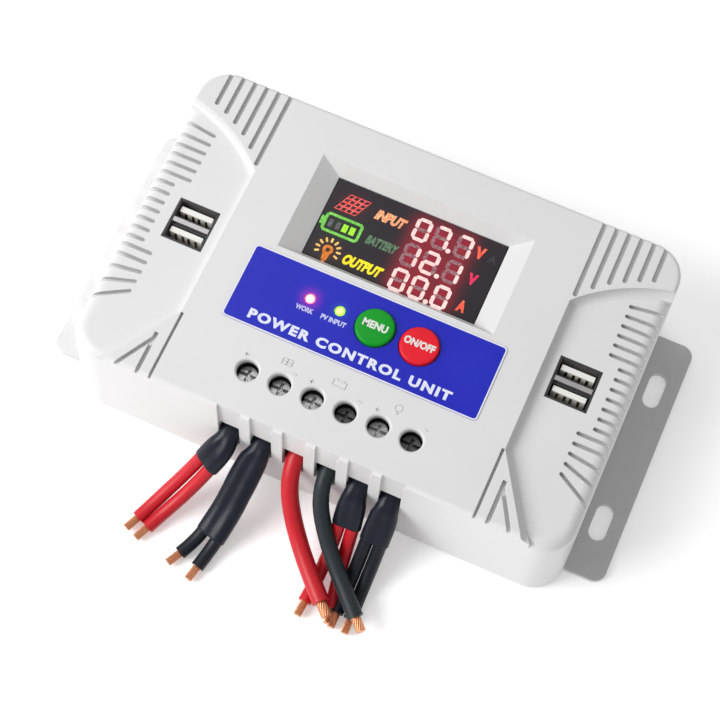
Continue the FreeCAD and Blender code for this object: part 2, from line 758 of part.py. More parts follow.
def make_usb():
    """Two upright double sockets: shells, liners, tongues and small riser boards."""
    liners, tongues, boards = [], [], []
    high = "usb_top - usb_bottom"
    for side, label in (("-", "left"), ("", "right")):
        across = f"{side}usb_across"
        shell = box("usb_wide", "usb_deep", high, across, "usb_along", "usb_bottom")
        tunnels = []
        for sign in (-1, 1):
            along = f"usb_along + {sign} * port_along"
            tunnels.append(box("usb_wide - 0.7", "6.0", high, across, along,
                               "usb_bottom + 1"))
            liners.append(box("usb_wide - 0.9", "0.8", "usb_top - usb_bottom - 2.4", across,
                              f"usb_along + {sign} * 1.3", "usb_bottom + 1.2"))
            tongues.append(box("11.1", "1.84", "usb_top - usb_bottom - 1.8", across,
                               f"{along} + tongue_shift", "usb_bottom + 1.0"))
        node(f"{label}_usb_shell", cut(shell, *tunnels))
        riser = box("20", "22", "1.6", across, "usb_along", "usb_bottom - 1.6")
        header = box("2.5", "20", "usb_bottom - 1.6 - board_bottom - board_thick",
                     f"{side}(usb_across - 6)", "usb_along", "board_bottom + board_thick")
        boards.append(fuse(riser, header))
    node("usb_liners", group(*liners))
    node("usb_tongues", group(*tongues))
    node("usb_boards", group(*boards))


# ---------------------------------------------------------------- terminals

def make_terminal_block():
    """Terminal housing: mouths, cage pockets, screw shelves and open wells."""
    base = "board_bottom + board_thick"
    block = box("block_wide", "block_back - block_front", f"block_top - ({base})", "0",
                "(block_front + block_back) / 2", base)
    cutters, bars = [], []
    for pole in range(6):
        across = pole_across(pole)
        cutters.append(box("mouth_wide", "12", "mouth_top - mouth_bottom", across,
                           "block_front + 5", "mouth_bottom"))
        cutters.append(box("cage_wide + 0.6", "10.8", "shelf_bottom - 17.6", across,
                           "screw_along + 1", "17.6"))
        cutters.append(cylinder("thread_round + 0.35", "6", across, "screw_along",
                                "shelf_bottom - 1"))
        cutters.append(cylinder("3.7", "6", across, "screw_along", "shelf_top"))
        cutters.append(box("6.4", "1.4", "4", across, "screw_along + 5.4", base))
        plate = box("5.8", "9.4", "bar_thick", across, "screw_along + 1.1", "bar_bottom")
        leg = box("5.8", "1", "bar_bottom + bar_thick - 12.4", across,
                  "screw_along + 5.3", "12.4")
        bars.append(fuse(plate, leg))
    node("terminal_block", cut(block, *cutters))
    node("contact_bars", group(*bars))


def make_terminals():
    """Six captive screws, each lifting a cage that grips a lead's pin."""
    for pole in range(6):
        across = pole_across(pole)
        shank = cylinder("thread_round", "shelf_top - 30.2", across, "screw_along", "30.2")
        head = cylinder("3.1", "2.5", across, "screw_along", "shelf_top + 0.1")
        neck = cylinder("thread_round", "0.2", across, "screw_along", "shelf_top")
        recess = [box(wide, deep, "1.5", across, "screw_along", "shelf_top + 1.2")
                  for wide, deep in (("7", "1"), ("1", "4.2"))]
        node(f"terminal_screw_{pole + 1}", cut(fuse(shank, neck, head), fuse(*recess)))
        cage = box("cage_wide", "cage_deep", "cage_high", across, "screw_along",
                   "cage_bottom")
        window = box("cage_wide - 2", "cage_deep + 1", "9.6", across, "screw_along",
                     "cage_bottom + 1.2")
        thread = cylinder("thread_round + 0.1", "6", across, "screw_along",
                          "cage_bottom + 9")
        node(f"terminal_cage_{pole + 1}", cut(cage, window, thread))


# ---------------------------------------------------------------- leads

# Routes run from a terminal's mouth out and down to the surface.
ROUTES = {
    "panel_lead_red_a": [(-30.6, -57.4, 22.4), (-33.6, -62.6, 16.4), (-37.2, -68.2, 10.4),
                         (-40.9, -74.4, 5.8), (-43.8, -80.0, 3.1), (-46.0, -85.2, 2.4)],
    "panel_lead_red_b": [(-27.0, -60.3, 21.8), (-29.7, -65.2, 15.8), (-33.2, -71.0, 9.8),
                         (-36.8, -77.0, 5.4), (-39.8, -82.2, 2.9), (-41.8, -86.9, 2.4)],
    "panel_lead_black_a": [(-19.8, -57.2, 21.9), (-20.9, -64.8, 16.2), (-22.2, -72.6, 10.2),
                           (-24.1, -79.6, 5.4), (-26.2, -85.4, 2.9), (-28.6, -90.2, 2.4)],
    "panel_lead_black_b": [(-15.3, -57.8, 21.7), (-16.4, -65.4, 15.8), (-17.6, -73.2, 9.8),
                           (-19.0, -80.4, 5.1), (-20.4, -86.6, 2.8), (-21.6, -92.0, 2.4)],
    "battery_lead_red": [(-5.5, -46.6, 26.4), (-5.4, -54.4, 24.2), (-3.6, -61.2, 19.2),
                         (0.3, -67.2, 13.8), (5.7, -73.6, 9.8), (12.4, -80.6, 8.0),
                         (19.4, -87.4, 7.7)],
    "battery_lead_grey": [(5.5, -46.6, 26.4), (5.5, -54.4, 24.2), (6.9, -60.8, 19.4),
                          (10.6, -66.4, 15.2), (16.4, -73.0, 11.0), (23.6, -80.0, 8.5),
                          (31.2, -87.4, 7.6)],
    "load_lead_red_a": [(14.5, -57.6, 21.4), (14.9, -63.6, 14.4), (15.0, -69.6, 8.0),
                        (14.9, -76.0, 4.0), (14.6, -82.2, 2.5), (14.1, -88.2, 2.4)],
    "load_lead_red_b": [(19.0, -57.6, 21.2), (19.4, -63.6, 14.0), (19.8, -69.4, 7.6),
                        (20.5, -75.4, 3.7), (21.6, -81.2, 2.4), (22.6, -86.8, 2.35)],
    "load_lead_black_a": [(24.9, -57.4, 21.4), (24.9, -63.8, 14.6), (24.8, -69.8, 8.4),
                          (24.7, -75.8, 4.2), (24.7, -81.6, 2.5), (24.8, -87.4, 2.4)],
    "load_lead_black_b": [(29.4, -57.4, 21.2), (29.4, -63.8, 14.2), (29.3, -69.8, 8.0),
                          (29.2, -75.8, 3.9), (29.3, -81.6, 2.4), (29.5, -87.4, 2.35)],
}
LEAD_SIZES = {"battery_lead_red": "battery_pos_lead", "battery_lead_grey": "battery_neg_lead"}


def lead_path(points):
    """Straight runs joined by tangent arcs; returns the wire and the arcs' radii."""
    corners = [Vector(*point) for point in points]
    edges, radii = [], []
    start = corners[0]
    for before, corner, after in zip(corners, corners[1:], corners[2:]):
        arriving, leaving = (corner - before), (after - corner)
        shorter = min(arriving.Length, leaving.Length)
        turn = arriving.getAngle(leaving)
        radius = 0.45 * shorter / math.tan(turn / 2)
        trim = 0.45 * shorter
        arriving.normalize()
        leaving.normalize()
        entry, leave = corner - arriving * trim, corner + leaving * trim
        inward = (leaving - arriving).normalize()
        middle = corner + inward * (radius / math.cos(turn / 2) - radius)
        edges += [Part.LineSegment(start, entry).toShape(),
                  Part.Arc(entry, middle, leave).toShape()]
        radii.append(radius)
        start = leave
    edges.append(Part.LineSegment(start, corners[-1]).toShape())
    return Part.Wire(edges), radii


def tube_along(points, diameter):
    """Round tube along a route, checked against its section times its length."""
    path, radii = lead_path(points)
    start, heading = Vector(*points[0]), Vector(*points[1]) - Vector(*points[0])
    section = Part.Wire(Part.makeCircle(diameter / 2, start, heading))
    tube = path.makePipeShell([section], True, False)
    expected = math.pi * diameter ** 2 / 4 * path.Length
    if abs(tube.Volume - expected) > 0.01 * expected:
        raise ValueError("a lead's tube doesn't have its section's volume")
    return tube, path.Length, radii


def oval(centre, heading, wide, thick):
    """Closed elliptical wire square to a heading, its long axis level."""
    normal = Vector(*heading).normalize()
    level = Vector(0, 0, 1).cross(normal).normalize()
    upright = normal.cross(level)
    middle = Vector(*centre)
    if wide > thick:
        ellipse = Part.Ellipse(middle + level * (wide / 2), middle + upright * (thick / 2),
                               middle)
    else:
        ellipse = Part.Circle(middle, normal, wide / 2)
    return Part.Wire(ellipse.toShape())


# Heat-shrink sleeves as ovals: centre, heading, width and thickness.
SLEEVES = {
    "panel_sleeve_red": [
        ((-27.3, -47.0, 25.7), (0.0, -1.0, -0.05), 5.6, 5.5),
        ((-27.3, -54.4, 24.6), (-0.1, -1.0, -0.35), 6.3, 5.9),
        ((-28.6, -58.9, 22.0), (-0.4, -1.0, -0.9), 9.2, 5.7),
        ((-31.4, -63.4, 16.6), (-0.6, -1.0, -1.0), 9.8, 5.5)],
    "panel_sleeve_black": [
        ((-16.4, -47.0, 25.7), (0.0, -1.0, -0.05), 5.6, 5.5),
        ((-16.5, -54.4, 24.2), (-0.05, -1.0, -0.5), 6.3, 5.9),
        ((-17.6, -59.0, 20.9), (-0.15, -1.0, -0.74), 9.4, 5.6),
        ((-18.7, -65.4, 15.8), (-0.17, -1.0, -0.78), 9.8, 5.4),
        ((-19.9, -73.0, 10.1), (-0.2, -1.0, -0.72), 9.9, 5.3),
        ((-21.9, -81.8, 5.0), (-0.26, -1.0, -0.5), 10.2, 5.2)],
    "load_sleeve_red": [
        ((16.4, -47.0, 25.7), (0.0, -1.0, -0.05), 5.6, 5.5),
        ((16.5, -54.4, 24.2), (0.0, -1.0, -0.6), 6.3, 5.9),
        ((16.8, -58.6, 20.2), (0.0, -1.0, -1.1), 9.0, 5.6),
        ((17.2, -63.2, 14.6), (0.05, -1.0, -1.15), 9.4, 5.4)],
    "load_sleeve_black": [
        ((27.3, -47.0, 25.7), (0.0, -1.0, -0.05), 5.6, 5.5),
        ((27.3, -54.4, 24.2), (0.0, -1.0, -0.6), 6.3, 5.9),
        ((27.3, -58.6, 20.2), (0.0, -1.0, -1.1), 9.0, 5.6),
        ((27.2, -64.4, 13.8), (0.0, -1.0, -1.05), 9.4, 5.4)],
}


def make_leads():
    """Ten short leads with stripped ends, four sleeves and the six crimped pins."""
    tubes, tips = {}, []
    for name, points in ROUTES.items():
        diameter = dim(LEAD_SIZES.get(name, "pair_lead"))
        tube, length, radii = tube_along(points, diameter)
        tubes[name] = tube
        print(name, f"length {length:.1f}", "radii", " ".join(f"{r:.1f}" for r in radii))
        node(name, fixed_shape(name, tube))
        heading = Vector(*points[-1]) - Vector(*points[-2])
        heading.z = 0
        core = Part.makeCylinder(0.3 * diameter, 5.0, Vector(*points[-1]), heading)
        tips.append(core)
    node("lead_tips", fixed_shape("LeadTips", Part.makeCompound(tips)))
    for name, sections in SLEEVES.items():
        sleeve = Part.makeLoft([oval(*section) for section in sections], True, False)
        lead = name.replace("sleeve", "lead")
        for strand in ("a", "b"):
            sleeve = sleeve.cut(tubes[f"{lead}_{strand}"])
        node(name, fixed_shape(name, sleeve))
    pins = [DOC.addObject("Part::Cylinder", "Pin") for _ in range(6)]
    for pole, pin in enumerate(pins):
        bind(pin, Radius="pin_round", Height="11.2")
        pin.Placement = Placement(Vector(), Rotation(Vector(1, 0, 0), 90))
        place(pin, pole_across(pole), "-36", "pin_high")
    node("wire_pins", group(*pins))


# ---------------------------------------------------------------- build and write

def write_nodes():
    """Check every feature and sub-part, then write one STEP file per node."""
    DOC.recompute()
    for feature in DOC.Objects:
        if "Invalid" in feature.State or "Error" in feature.State:
            raise ValueError(f"{feature.Label} failed to compute")
    for label, feature in NODES.items():
        if feature.Shape.isNull() or not feature.Shape.isValid():
            raise ValueError(f"{label} is null or not valid")
    os.makedirs("parts", exist_ok=True)
    for label, feature in NODES.items():
        feature.Shape.exportStep(f"parts/{label}.step")
    print(len(NODES), "nodes written")


def main():
    """Build every sub-part in assembly order."""
    make_mounting_plate()
    make_cover()
    make_label()
    make_button("menu", "menu_across")
    make_button("power", "power_across")
    make_switches()
    make_lamp("work_lamp", "work_across")
    make_lamp("pv_lamp", "pv_across")
    make_display()
    make_display_board()
    make_main_board()
    make_fixings()
    make_power_stage()
    make_usb()
    make_terminal_block()
    make_terminals()
    make_leads()
    write_nodes()


main()
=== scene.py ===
import logging
import math
from contextlib import contextmanager
from dataclasses import dataclass, field
from enum import Enum
from functools import lru_cache
from typing import Callable, Iterator, Optional, Sequence, Union

import bmesh
import bpy
from mathutils import Matrix, Vector, noise


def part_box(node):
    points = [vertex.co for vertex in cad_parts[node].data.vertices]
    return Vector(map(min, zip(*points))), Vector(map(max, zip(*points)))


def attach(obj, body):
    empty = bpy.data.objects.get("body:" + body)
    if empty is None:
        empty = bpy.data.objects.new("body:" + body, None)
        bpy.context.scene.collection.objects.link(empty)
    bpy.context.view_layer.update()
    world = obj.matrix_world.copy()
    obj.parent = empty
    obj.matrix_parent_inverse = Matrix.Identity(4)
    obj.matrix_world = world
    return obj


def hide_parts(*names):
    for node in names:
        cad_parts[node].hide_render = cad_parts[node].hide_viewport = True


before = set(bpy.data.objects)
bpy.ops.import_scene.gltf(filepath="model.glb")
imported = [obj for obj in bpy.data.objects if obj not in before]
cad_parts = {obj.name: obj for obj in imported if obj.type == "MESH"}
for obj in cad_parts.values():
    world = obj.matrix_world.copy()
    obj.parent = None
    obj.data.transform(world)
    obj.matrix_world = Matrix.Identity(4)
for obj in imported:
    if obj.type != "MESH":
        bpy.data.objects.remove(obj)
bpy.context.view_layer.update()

# The looks of a wall-mounted solar charge controller that lies on its back.
# Metres. X runs across the front label, Y towards the display, Z out of the face.

LOG = logging.getLogger("charge_controller")
MM = 0.001
LINE_THICK = 0.03 * MM
POLE_PITCH = 10.92  # millimetres between two terminals
RED_LAMP = (-19.7 * MM, -9.7 * MM)
GREEN_LAMP = (-9.6 * MM, -9.7 * MM)
DIGIT_COLUMNS = (2.1 * MM, 8.8 * MM, 16.5 * MM)
DIGIT_ROWS = (28.7 * MM, 19.1 * MM, 9.6 * MM)
Colour = tuple[float, float, float]
Point = tuple[float, float, float]
Number = Union["Wire", float, int]


# ---------------------------------------------------------------- shader graphs

class Wire:
    """A number that a shader node gives, with the arithmetic of plain numbers."""

    def __init__(self, graph: "Graph", socket: bpy.types.NodeSocket) -> None:
        """Keep the graph that further nodes go into, and the socket.

        Args:
            graph: the material's graph.
            socket: the output that gives the number.
        """
        self.graph = graph
        self.socket = socket

    def __add__(self, other: Number) -> "Wire":
        """Sum of two numbers."""
        return self.graph.math("ADD", self, other)

    def __sub__(self, other: Number) -> "Wire":
        """Difference of two numbers."""
        return self.graph.math("SUBTRACT", self, other)

    def __rsub__(self, other: Number) -> "Wire":
        """Difference from a plain number."""
        return self.graph.math("SUBTRACT", other, self)

    def __mul__(self, other: Number) -> "Wire":
        """Product of two numbers."""
        return self.graph.math("MULTIPLY", self, other)

    def __truediv__(self, other: Number) -> "Wire":
        """Quotient of two numbers."""
        return self.graph.math("DIVIDE", self, other)

    def __pow__(self, other: Number) -> "Wire":
        """Power of a number."""
        return self.graph.math("POWER", self, other)

    __radd__ = __add__
    __rmul__ = __mul__

    def capped(self) -> "Wire":
        """The number kept between 0 and 1."""
        return self.graph.math("MAXIMUM", self.graph.math("MINIMUM", self, 1.0), 0.0)

    def bell(self, middle: float, spread: float) -> "Wire":
        """A smooth hump over this number.

        Args:
            middle: where the hump is highest.
            spread: how far from there it has fallen to about a third.

        Returns:
            A number from 0 to 1.
        """
        reach = (self - middle) / spread
        return self.graph.math("EXPONENT", reach * reach * -1.0)


Link = Union[Wire, float, int, tuple, bpy.types.NodeSocket]


class Graph:
    """One material and the nodes that are added to it."""

    def __init__(self, name: str) -> None:
        """Start an empty material.

        Args:
            name: the material's name.
        """
        self.material = bpy.data.materials.new(name)
        self.material.use_nodes = True
        self.tree = self.material.node_tree
        self.tree.nodes.clear()
        place = self.add("ShaderNodeTexCoord")
        self.place = place.outputs["Object"]
        apart = self.add("ShaderNodeSeparateXYZ", inputs={"Vector": self.place})
        self.x, self.y = (Wire(self, apart.outputs[i]) for i in range(2))

    def add(self, kind: str, settings: Optional[dict] = None,
            inputs: Optional[dict] = None) -> bpy.types.Node:
        """Add a node, set it up and feed its sockets.

        Args:
            kind: the node's type.
            settings: the node's own properties.
            inputs: values or links by socket name or number.

        Returns:
            The new node.
        """
        node = self.tree.nodes.new(kind)
        for name, value in (settings or {}).items():
            setattr(node, name, value)
        for name, value in (inputs or {}).items():
            self.feed(node.inputs[name], value)
        return node

    def feed(self, socket: bpy.types.NodeSocket, value: Link) -> None:
        """Link or set one socket.

        Args:
            socket: the input.
            value: a wire, an output socket, a number, a vector or a colour.
        """
        if isinstance(value, Wire):
            self.tree.links.new(value.socket, socket)
        elif isinstance(value, bpy.types.NodeSocket):
            self.tree.links.new(value, socket)
        elif socket.type == "RGBA" and len(value) == 3:
            socket.default_value = (*value, 1.0)
        else:
            socket.default_value = value

    def math(self, operation: str, first: Number, second: Number = 0.0) -> Wire:
        """Add one Math node and give its result."""
        node = self.add("ShaderNodeMath", {"operation": operation}, {0: first, 1: second})
        return Wire(self, node.outputs[0])

    def noise(self, size: float, detail: float = 2.0, stretch: Point = (1, 1, 1),
              seed: float = 0.0) -> Wire:
        """Cloudy noise.

        Args:
            size: how large a blotch is, in metres.
            detail: how much finer noise is laid over it.
            stretch: how many times longer blotches are along each axis.
            seed: a shift that makes patterns differ.

        Returns:
            A number from 0 to 1.
        """
        scale = tuple(1.0 / factor for factor in stretch)
        lying = self.add("ShaderNodeMapping", inputs={
            "Vector": self.place, "Scale": scale, "Location": (seed, seed, seed)})
        node = self.add("ShaderNodeTexNoise", inputs={
            "Vector": lying.outputs[0], "Scale": 1.0 / size, "Detail": detail})
        return Wire(self, node.outputs["Fac"])

    def blend(self, share: Number, first: Link, second: Link) -> bpy.types.NodeSocket:
        """Mix two colours.

        Args:
            share: how much of the second colour shows.
            first: a colour or an output that gives one.
            second: the other colour.

        Returns:
            The mixed colour's output.
        """
        node = self.add("ShaderNodeMix", {"data_type": "RGBA"},
                        {0: share, 6: first, 7: second})
        return node.outputs[2]

    def soft_edge(self, radius: float) -> bpy.types.NodeSocket:
        """Normals that round a piece's edges by a radius."""
        return self.add("ShaderNodeBevel", {"samples": 4}, {"Radius": radius}).outputs[0]

    def edge_highlight_mask(self, rounded: bpy.types.NodeSocket) -> Wire:
        """How near a point is to an edge, where the finishes paint a highlight.

        Args:
            rounded: the normals that soft_edge gives.

        Returns:
            A number that is 0 on flat faces and larger at edges.
        """
        true_normal = self.add("ShaderNodeNewGeometry").outputs["Normal"]
        along = self.add("ShaderNodeVectorMath", {"operation": "DOT_PRODUCT"},
                         {0: rounded, 1: true_normal})
        return (1.0 - Wire(self, along.outputs["Value"])).capped()

    def bump(self, height: Wire, depth: float,
             under: Optional[bpy.types.NodeSocket] = None) -> bpy.types.NodeSocket:
        """Normals of a surface that rises with a number.

        Args:
            height: the number, from 0 to 1.
            depth: how far the surface rises, in metres.
            under: normals to start from.

        Returns:
            The normals' output.
        """
        inputs = {"Height": height, "Distance": depth, "Strength": 1.0}
        if under is not None:
            inputs["Normal"] = under
        return self.add("ShaderNodeBump", inputs=inputs).outputs[0]

    def surface(self, inputs: dict) -> bpy.types.Material:
        """Close the graph with one shader.

        Args:
            inputs: values or links for the shader's sockets.

        Returns:
            The finished material.
        """
        shader = self.add("ShaderNodeBsdfPrincipled", inputs=inputs)
        self.add("ShaderNodeOutputMaterial", inputs={"Surface": shader.outputs[0]})
        return self.material


# ---------------------------------------------------------------- finishes

def varied(level: float, *parts: tuple[Wire, float]) -> Wire:
    """A value that noises move up and down.

    Args:
        level: the value in the middle.
        parts: each noise, from 0 to 1, with the whole span that it moves the value by.

    Returns:
        The value, kept between 0 and 1.
    """
    total = level
    for cloud, span in parts:
        total = (cloud - 0.5) * span + total
    return total.capped()


@dataclass(frozen=True)
class Spot:
    """A soft patch of coloured light on a flat face."""

    across: float
    along: float
    wide: float
    high: float
    colour: Colour
    share: float = 0.5

    def over(self, graph: Graph, under: Link) -> bpy.types.NodeSocket:
        """Lay the patch over a colour.

        Args:
            graph: the material's graph.
            under: the colour below.

        Returns:
            The mixed colour's output.
        """
        hump = graph.x.bell(self.across, self.wide) * graph.y.bell(self.along, self.high)
        return graph.blend(hump * self.share, under, self.colour)


@dataclass(frozen=True)
class Moulding:
    """Moulded plastic or rubber: fine grain, faint blotches and a painted highlight on its edges.
    """

    name: str
    light: Colour
    dark: Colour
    roughness: float = 0.4
    grain: float = 0.35 * MM
    depth: float = 0.008 * MM
    edge: float = 0.25 * MM
    patch: float = 14 * MM
    # How strongly the edges are lightened: painted highlight.
    edge_highlight_strength: float = 0.0
    coat: float = 0.0
    gloss: float = 0.5

    def make(self) -> bpy.types.Material:
        """Build the material."""
        graph = Graph(self.name)
        grain = graph.noise(self.grain, 3.0)
        patch = graph.noise(self.patch, 4.0, seed=0.3)
        rounded = graph.soft_edge(self.edge)
        # Edges lightened towards a brighter tint: painted highlight.
        edge_highlight = (graph.edge_highlight_mask(rounded) * self.edge_highlight_strength * 4.0).capped()
        body_colour = graph.blend(patch, self.dark, self.light)
        highlight_colour = tuple(min(1.0, channel * 1.25 + 0.03) for channel in self.light)
        return graph.surface({
            "Base Color": graph.blend(edge_highlight, body_colour, highlight_colour),
            "Roughness": varied(self.roughness, (patch, 0.16), (grain, 0.1)),
            "Normal": graph.bump(grain, self.depth, rounded),
            "Coat Weight": self.coat, "Coat Roughness": 0.12,
            "Specular IOR Level": self.gloss})


@dataclass(frozen=True)
class Metal:
    """Bare or plated metal: brushing or blasting, faint stains and a painted highlight on its
    edges.
    """

    name: str
    light: Colour
    dark: Colour
    roughness: float = 0.32
    grain: float = 0.3 * MM
    depth: float = 0.006 * MM
    stretch: Point = (1.0, 1.0, 1.0)
    edge: float = 0.15 * MM
    metallic: float = 1.0

    def make(self) -> bpy.types.Material:
        """Build the material."""
        graph = Graph(self.name)
        grain = graph.noise(self.grain, 3.0, self.stretch)
        stain = graph.noise(9 * MM, 5.0, seed=0.7)
        rounded = graph.soft_edge(self.edge)
        # Edges brightened: painted highlight.
        edge_highlight = (graph.edge_highlight_mask(rounded) * 3.0).capped()
        colour = graph.blend(stain, self.dark, self.light)
        bright = tuple(min(1.0, channel * 1.2) for channel in self.light)
        return graph.surface({
            "Base Color": graph.blend(edge_highlight, colour, bright),
            "Metallic": self.metallic,
            "Roughness": varied(self.roughness, (stain, 0.2), (grain, 0.15)),
            "Normal": graph.bump(grain, self.depth, rounded)})


@dataclass(frozen=True)
class CoverShell:
    """The cover's off-white moulding: satin grain, soft edges with a painted highlight, and
    painted shade in its grooves.
    """

    name: str = "cover_shell"
    light: Colour = (0.715, 0.715, 0.712)
    dark: Colour = (0.665, 0.665, 0.664)
    # Colour of the painted shade in the grooves.
    groove_shade: Colour = (0.42, 0.42, 0.42)

    def make(self) -> bpy.types.Material:
        """Build the material."""
        graph = Graph(self.name)
        grain = graph.noise(0.42 * MM, 3.0)
        patch = graph.noise(30 * MM, 4.0, seed=0.3)
        rounded = graph.soft_edge(0.35 * MM)
        edge_highlight = (graph.edge_highlight_mask(rounded) * 2.0).capped()
        # Ambient occlusion darkens the grooves and hollows: painted shade, with roughness raised
        # there too.
        hollow = graph.add("ShaderNodeAmbientOcclusion",
                           {"samples": 6, "only_local": True},
                           {"Distance": 3.0 * MM, "Color": (1.0, 1.0, 1.0)})
        closed = 1.0 - Wire(graph, hollow.outputs["AO"])
        groove_shade_mask = ((closed - 0.45) * 1.1 * (0.7 + patch * 0.5)).capped()
        body_colour = graph.blend(patch, self.dark, self.light)
        # Edges blended towards near white: painted highlight.
        edged = graph.blend(edge_highlight * 0.6, body_colour, (0.84, 0.84, 0.84))
        return graph.surface({
            "Base Color": graph.blend(groove_shade_mask, edged, self.groove_shade),
            "Roughness": (varied(0.36, (patch, 0.14), (grain, 0.1)) + groove_shade_mask * 0.3).capped(),
            "Normal": graph.bump(grain, 0.006 * MM, rounded),
            "Specular IOR Level": 0.35})


@dataclass(frozen=True)
class PrintedFilm:
    """The blue front label, lit by the lamps that come through it."""

    name: str = "printed_blue_film"
    light: Colour = (0.020, 0.030, 0.50)
    dark: Colour = (0.010, 0.012, 0.40)
    halos: tuple[Spot, ...] = (
        Spot(*RED_LAMP, 2.6 * MM, 2.6 * MM, (0.75, 0.02, 0.12), 1.0),
        Spot(*GREEN_LAMP, 2.0 * MM, 2.0 * MM, (0.05, 0.30, 0.02)))

    def make(self) -> bpy.types.Material:
        """Build the material."""
        graph = Graph(self.name)
        peel = graph.noise(1.6 * MM, 2.0)
        patch = graph.noise(26 * MM, 3.0, seed=0.5)
        speck = graph.noise(0.2 * MM, 1.0, seed=0.1)
        rounded = graph.soft_edge(0.1 * MM)
        glow = (0.0, 0.0, 0.0)
        for halo in self.halos:
            glow = halo.over(graph, glow)
        colour = graph.blend((patch * 0.8 + speck * 0.2).capped(), self.dark, self.light)
        return graph.surface({
            "Base Color": colour,
            "Roughness": varied(0.34, (patch, 0.2)),
            "Normal": graph.bump(peel, 0.01 * MM, rounded),
            "Specular IOR Level": 0.22,
            "Emission Color": glow, "Emission Strength": 0.55})


@dataclass(frozen=True)
class ScreenFilm:
    """Smoked film over the numbers, with the red light that spreads in it."""

    name: str = "smoked_screen_film"
    base: Colour = (0.014, 0.012, 0.015)
    glow: Colour = (0.32, 0.009, 0.024)
    digit_wide: float = 3.9 * MM
    digit_high: float = 5.0 * MM
    icons: tuple[Spot, ...] = (
        Spot(-21.5 * MM, 19.0 * MM, 7.5 * MM, 3.8 * MM, (0.010, 0.055, 0.010)),
        Spot(-22.4 * MM, 9.5 * MM, 4.5 * MM, 3.6 * MM, (0.085, 0.035, 0.010)),
        Spot(-21.5 * MM, 27.6 * MM, 5.0 * MM, 3.8 * MM, (0.10, 0.012, 0.014)))

    def make(self) -> bpy.types.Material:
        """Build the material."""
        graph = Graph(self.name)
        across = sum(graph.x.bell(column, self.digit_wide) for column in DIGIT_COLUMNS)
        along = sum(graph.y.bell(row, self.digit_high) for row in DIGIT_ROWS)
        mottle = graph.noise(2.2 * MM, 3.0)
        red = (across.capped() * along.capped() * (0.75 + mottle * 0.5)).capped()
        lit = graph.blend(red, (0.012, 0.010, 0.012), self.glow)
        for icon in self.icons:
            lit = icon.over(graph, lit)
        smear = graph.noise(12 * MM, 4.0, seed=0.4)
        return graph.surface({
            "Base Color": graph.blend(smear, self.base, (0.022, 0.019, 0.023)),
            "Roughness": (0.26 + smear * 0.14).capped(),
            "Normal": graph.bump(mottle, 0.004 * MM), "Specular IOR Level": 0.18,
            "Emission Color": lit, "Emission Strength": 1.0})


@dataclass(frozen=True)
class Ink:
    """Thin printed or lit marking: two shades in a fine mottle, with its own light."""

    name: str
    light: Colour
    dark: Colour
    strength: float = 0.0
    mottle: float = 0.7 * MM
    lit_from: float = 0.3
    lit_base: float = 0.12

    def make(self) -> bpy.types.Material:
        """Build the material."""
        graph = Graph(self.name)
        speck = graph.noise(self.mottle, 2.0)
        share = ((speck - 0.35) * 3.0).capped()
        kept = self.lit_base if self.strength > self.lit_from else 1.0
        return graph.surface({
            "Base Color": graph.blend(share, tuple(c * kept for c in self.dark),
                                      tuple(c * kept for c in self.light)),
            "Roughness": (0.42 + speck * 0.1).capped(), "Specular IOR Level": 0.15,
            "Normal": graph.bump(speck, 0.002 * MM),
            "Emission Color": graph.blend(share, self.dark, self.light),
            "Emission Strength": self.strength})


@dataclass(frozen=True)
class LampGlow:
    """A lit lamp: white-hot in the middle and coloured at its rim."""

    name: str
    middle: tuple[float, float]
    core: Colour
    rim: Colour
    radius: float = 1.5 * MM
    strength: float = 1.3

    def make(self) -> bpy.types.Material:
        """Build the material."""
        graph = Graph(self.name)
        reach = ((graph.x - self.middle[0]) ** 2.0 + (graph.y - self.middle[1]) ** 2.0) ** 0.5
        share = (reach / self.radius) ** 2.5
        frost = graph.noise(0.3 * MM, 2.0)
        colour = graph.blend(share.capped(), self.core, self.rim)
        return graph.surface({
            "Base Color": colour, "Roughness": (0.22 + frost * 0.1).capped(),
            "Normal": graph.bump(frost, 0.003 * MM),
            "Emission Color": colour, "Emission Strength": self.strength})


@dataclass(frozen=True)
class CircuitLaminate:
    """Circuit board: solder mask over raised tracks, with bare fibre at its edges."""

    name: str = "circuit_laminate"
    mask: Colour = (0.012, 0.12, 0.045)
    track: Colour = (0.03, 0.21, 0.08)

    def make(self) -> bpy.types.Material:
        """Build the material."""
        graph = Graph(self.name)
        lanes = graph.add("ShaderNodeTexBrick", {"offset": 0.35}, {
            "Vector": graph.place, "Scale": 1.0 / (9 * MM), "Mortar Size": 0.06,
            "Color1": self.mask, "Color2": self.mask, "Mortar": self.track})
        raised = Wire(graph, lanes.outputs["Fac"])
        speck = graph.noise(0.5 * MM, 2.0)
        normal = graph.bump((raised + speck * 0.15).capped(), 0.03 * MM,
                            graph.soft_edge(0.1 * MM))
        return graph.surface({
            "Base Color": lanes.outputs["Color"],
            "Roughness": (0.34 + speck * 0.15).capped(), "Normal": normal,
            "Coat Weight": 0.3})


@dataclass(frozen=True)
class WireJacket:
    """Soft wire insulation: satin skin with faint ripples and rubbed highlights."""

    name: str
    light: Colour
    dark: Colour
    roughness: float = 0.42
    ripple: float = 0.06 * MM
    gloss: float = 0.4

    def make(self) -> bpy.types.Material:
        """Build the material."""
        graph = Graph(self.name)
        wave = graph.noise(3.2 * MM, 3.0, (1.0, 2.6, 1.6))
        skin = graph.noise(0.45 * MM, 2.0, seed=0.2)
        patch = graph.noise(9 * MM, 3.0, seed=0.9)
        normal = graph.bump(skin, 0.012 * MM, graph.bump(wave, self.ripple))
        return graph.surface({
            "Base Color": graph.blend((patch * 0.7 + wave * 0.3).capped(), self.dark, self.light),
            "Roughness": varied(self.roughness, (wave, 0.25), (skin, 0.1)),
            "Normal": normal, "Specular IOR Level": self.gloss})


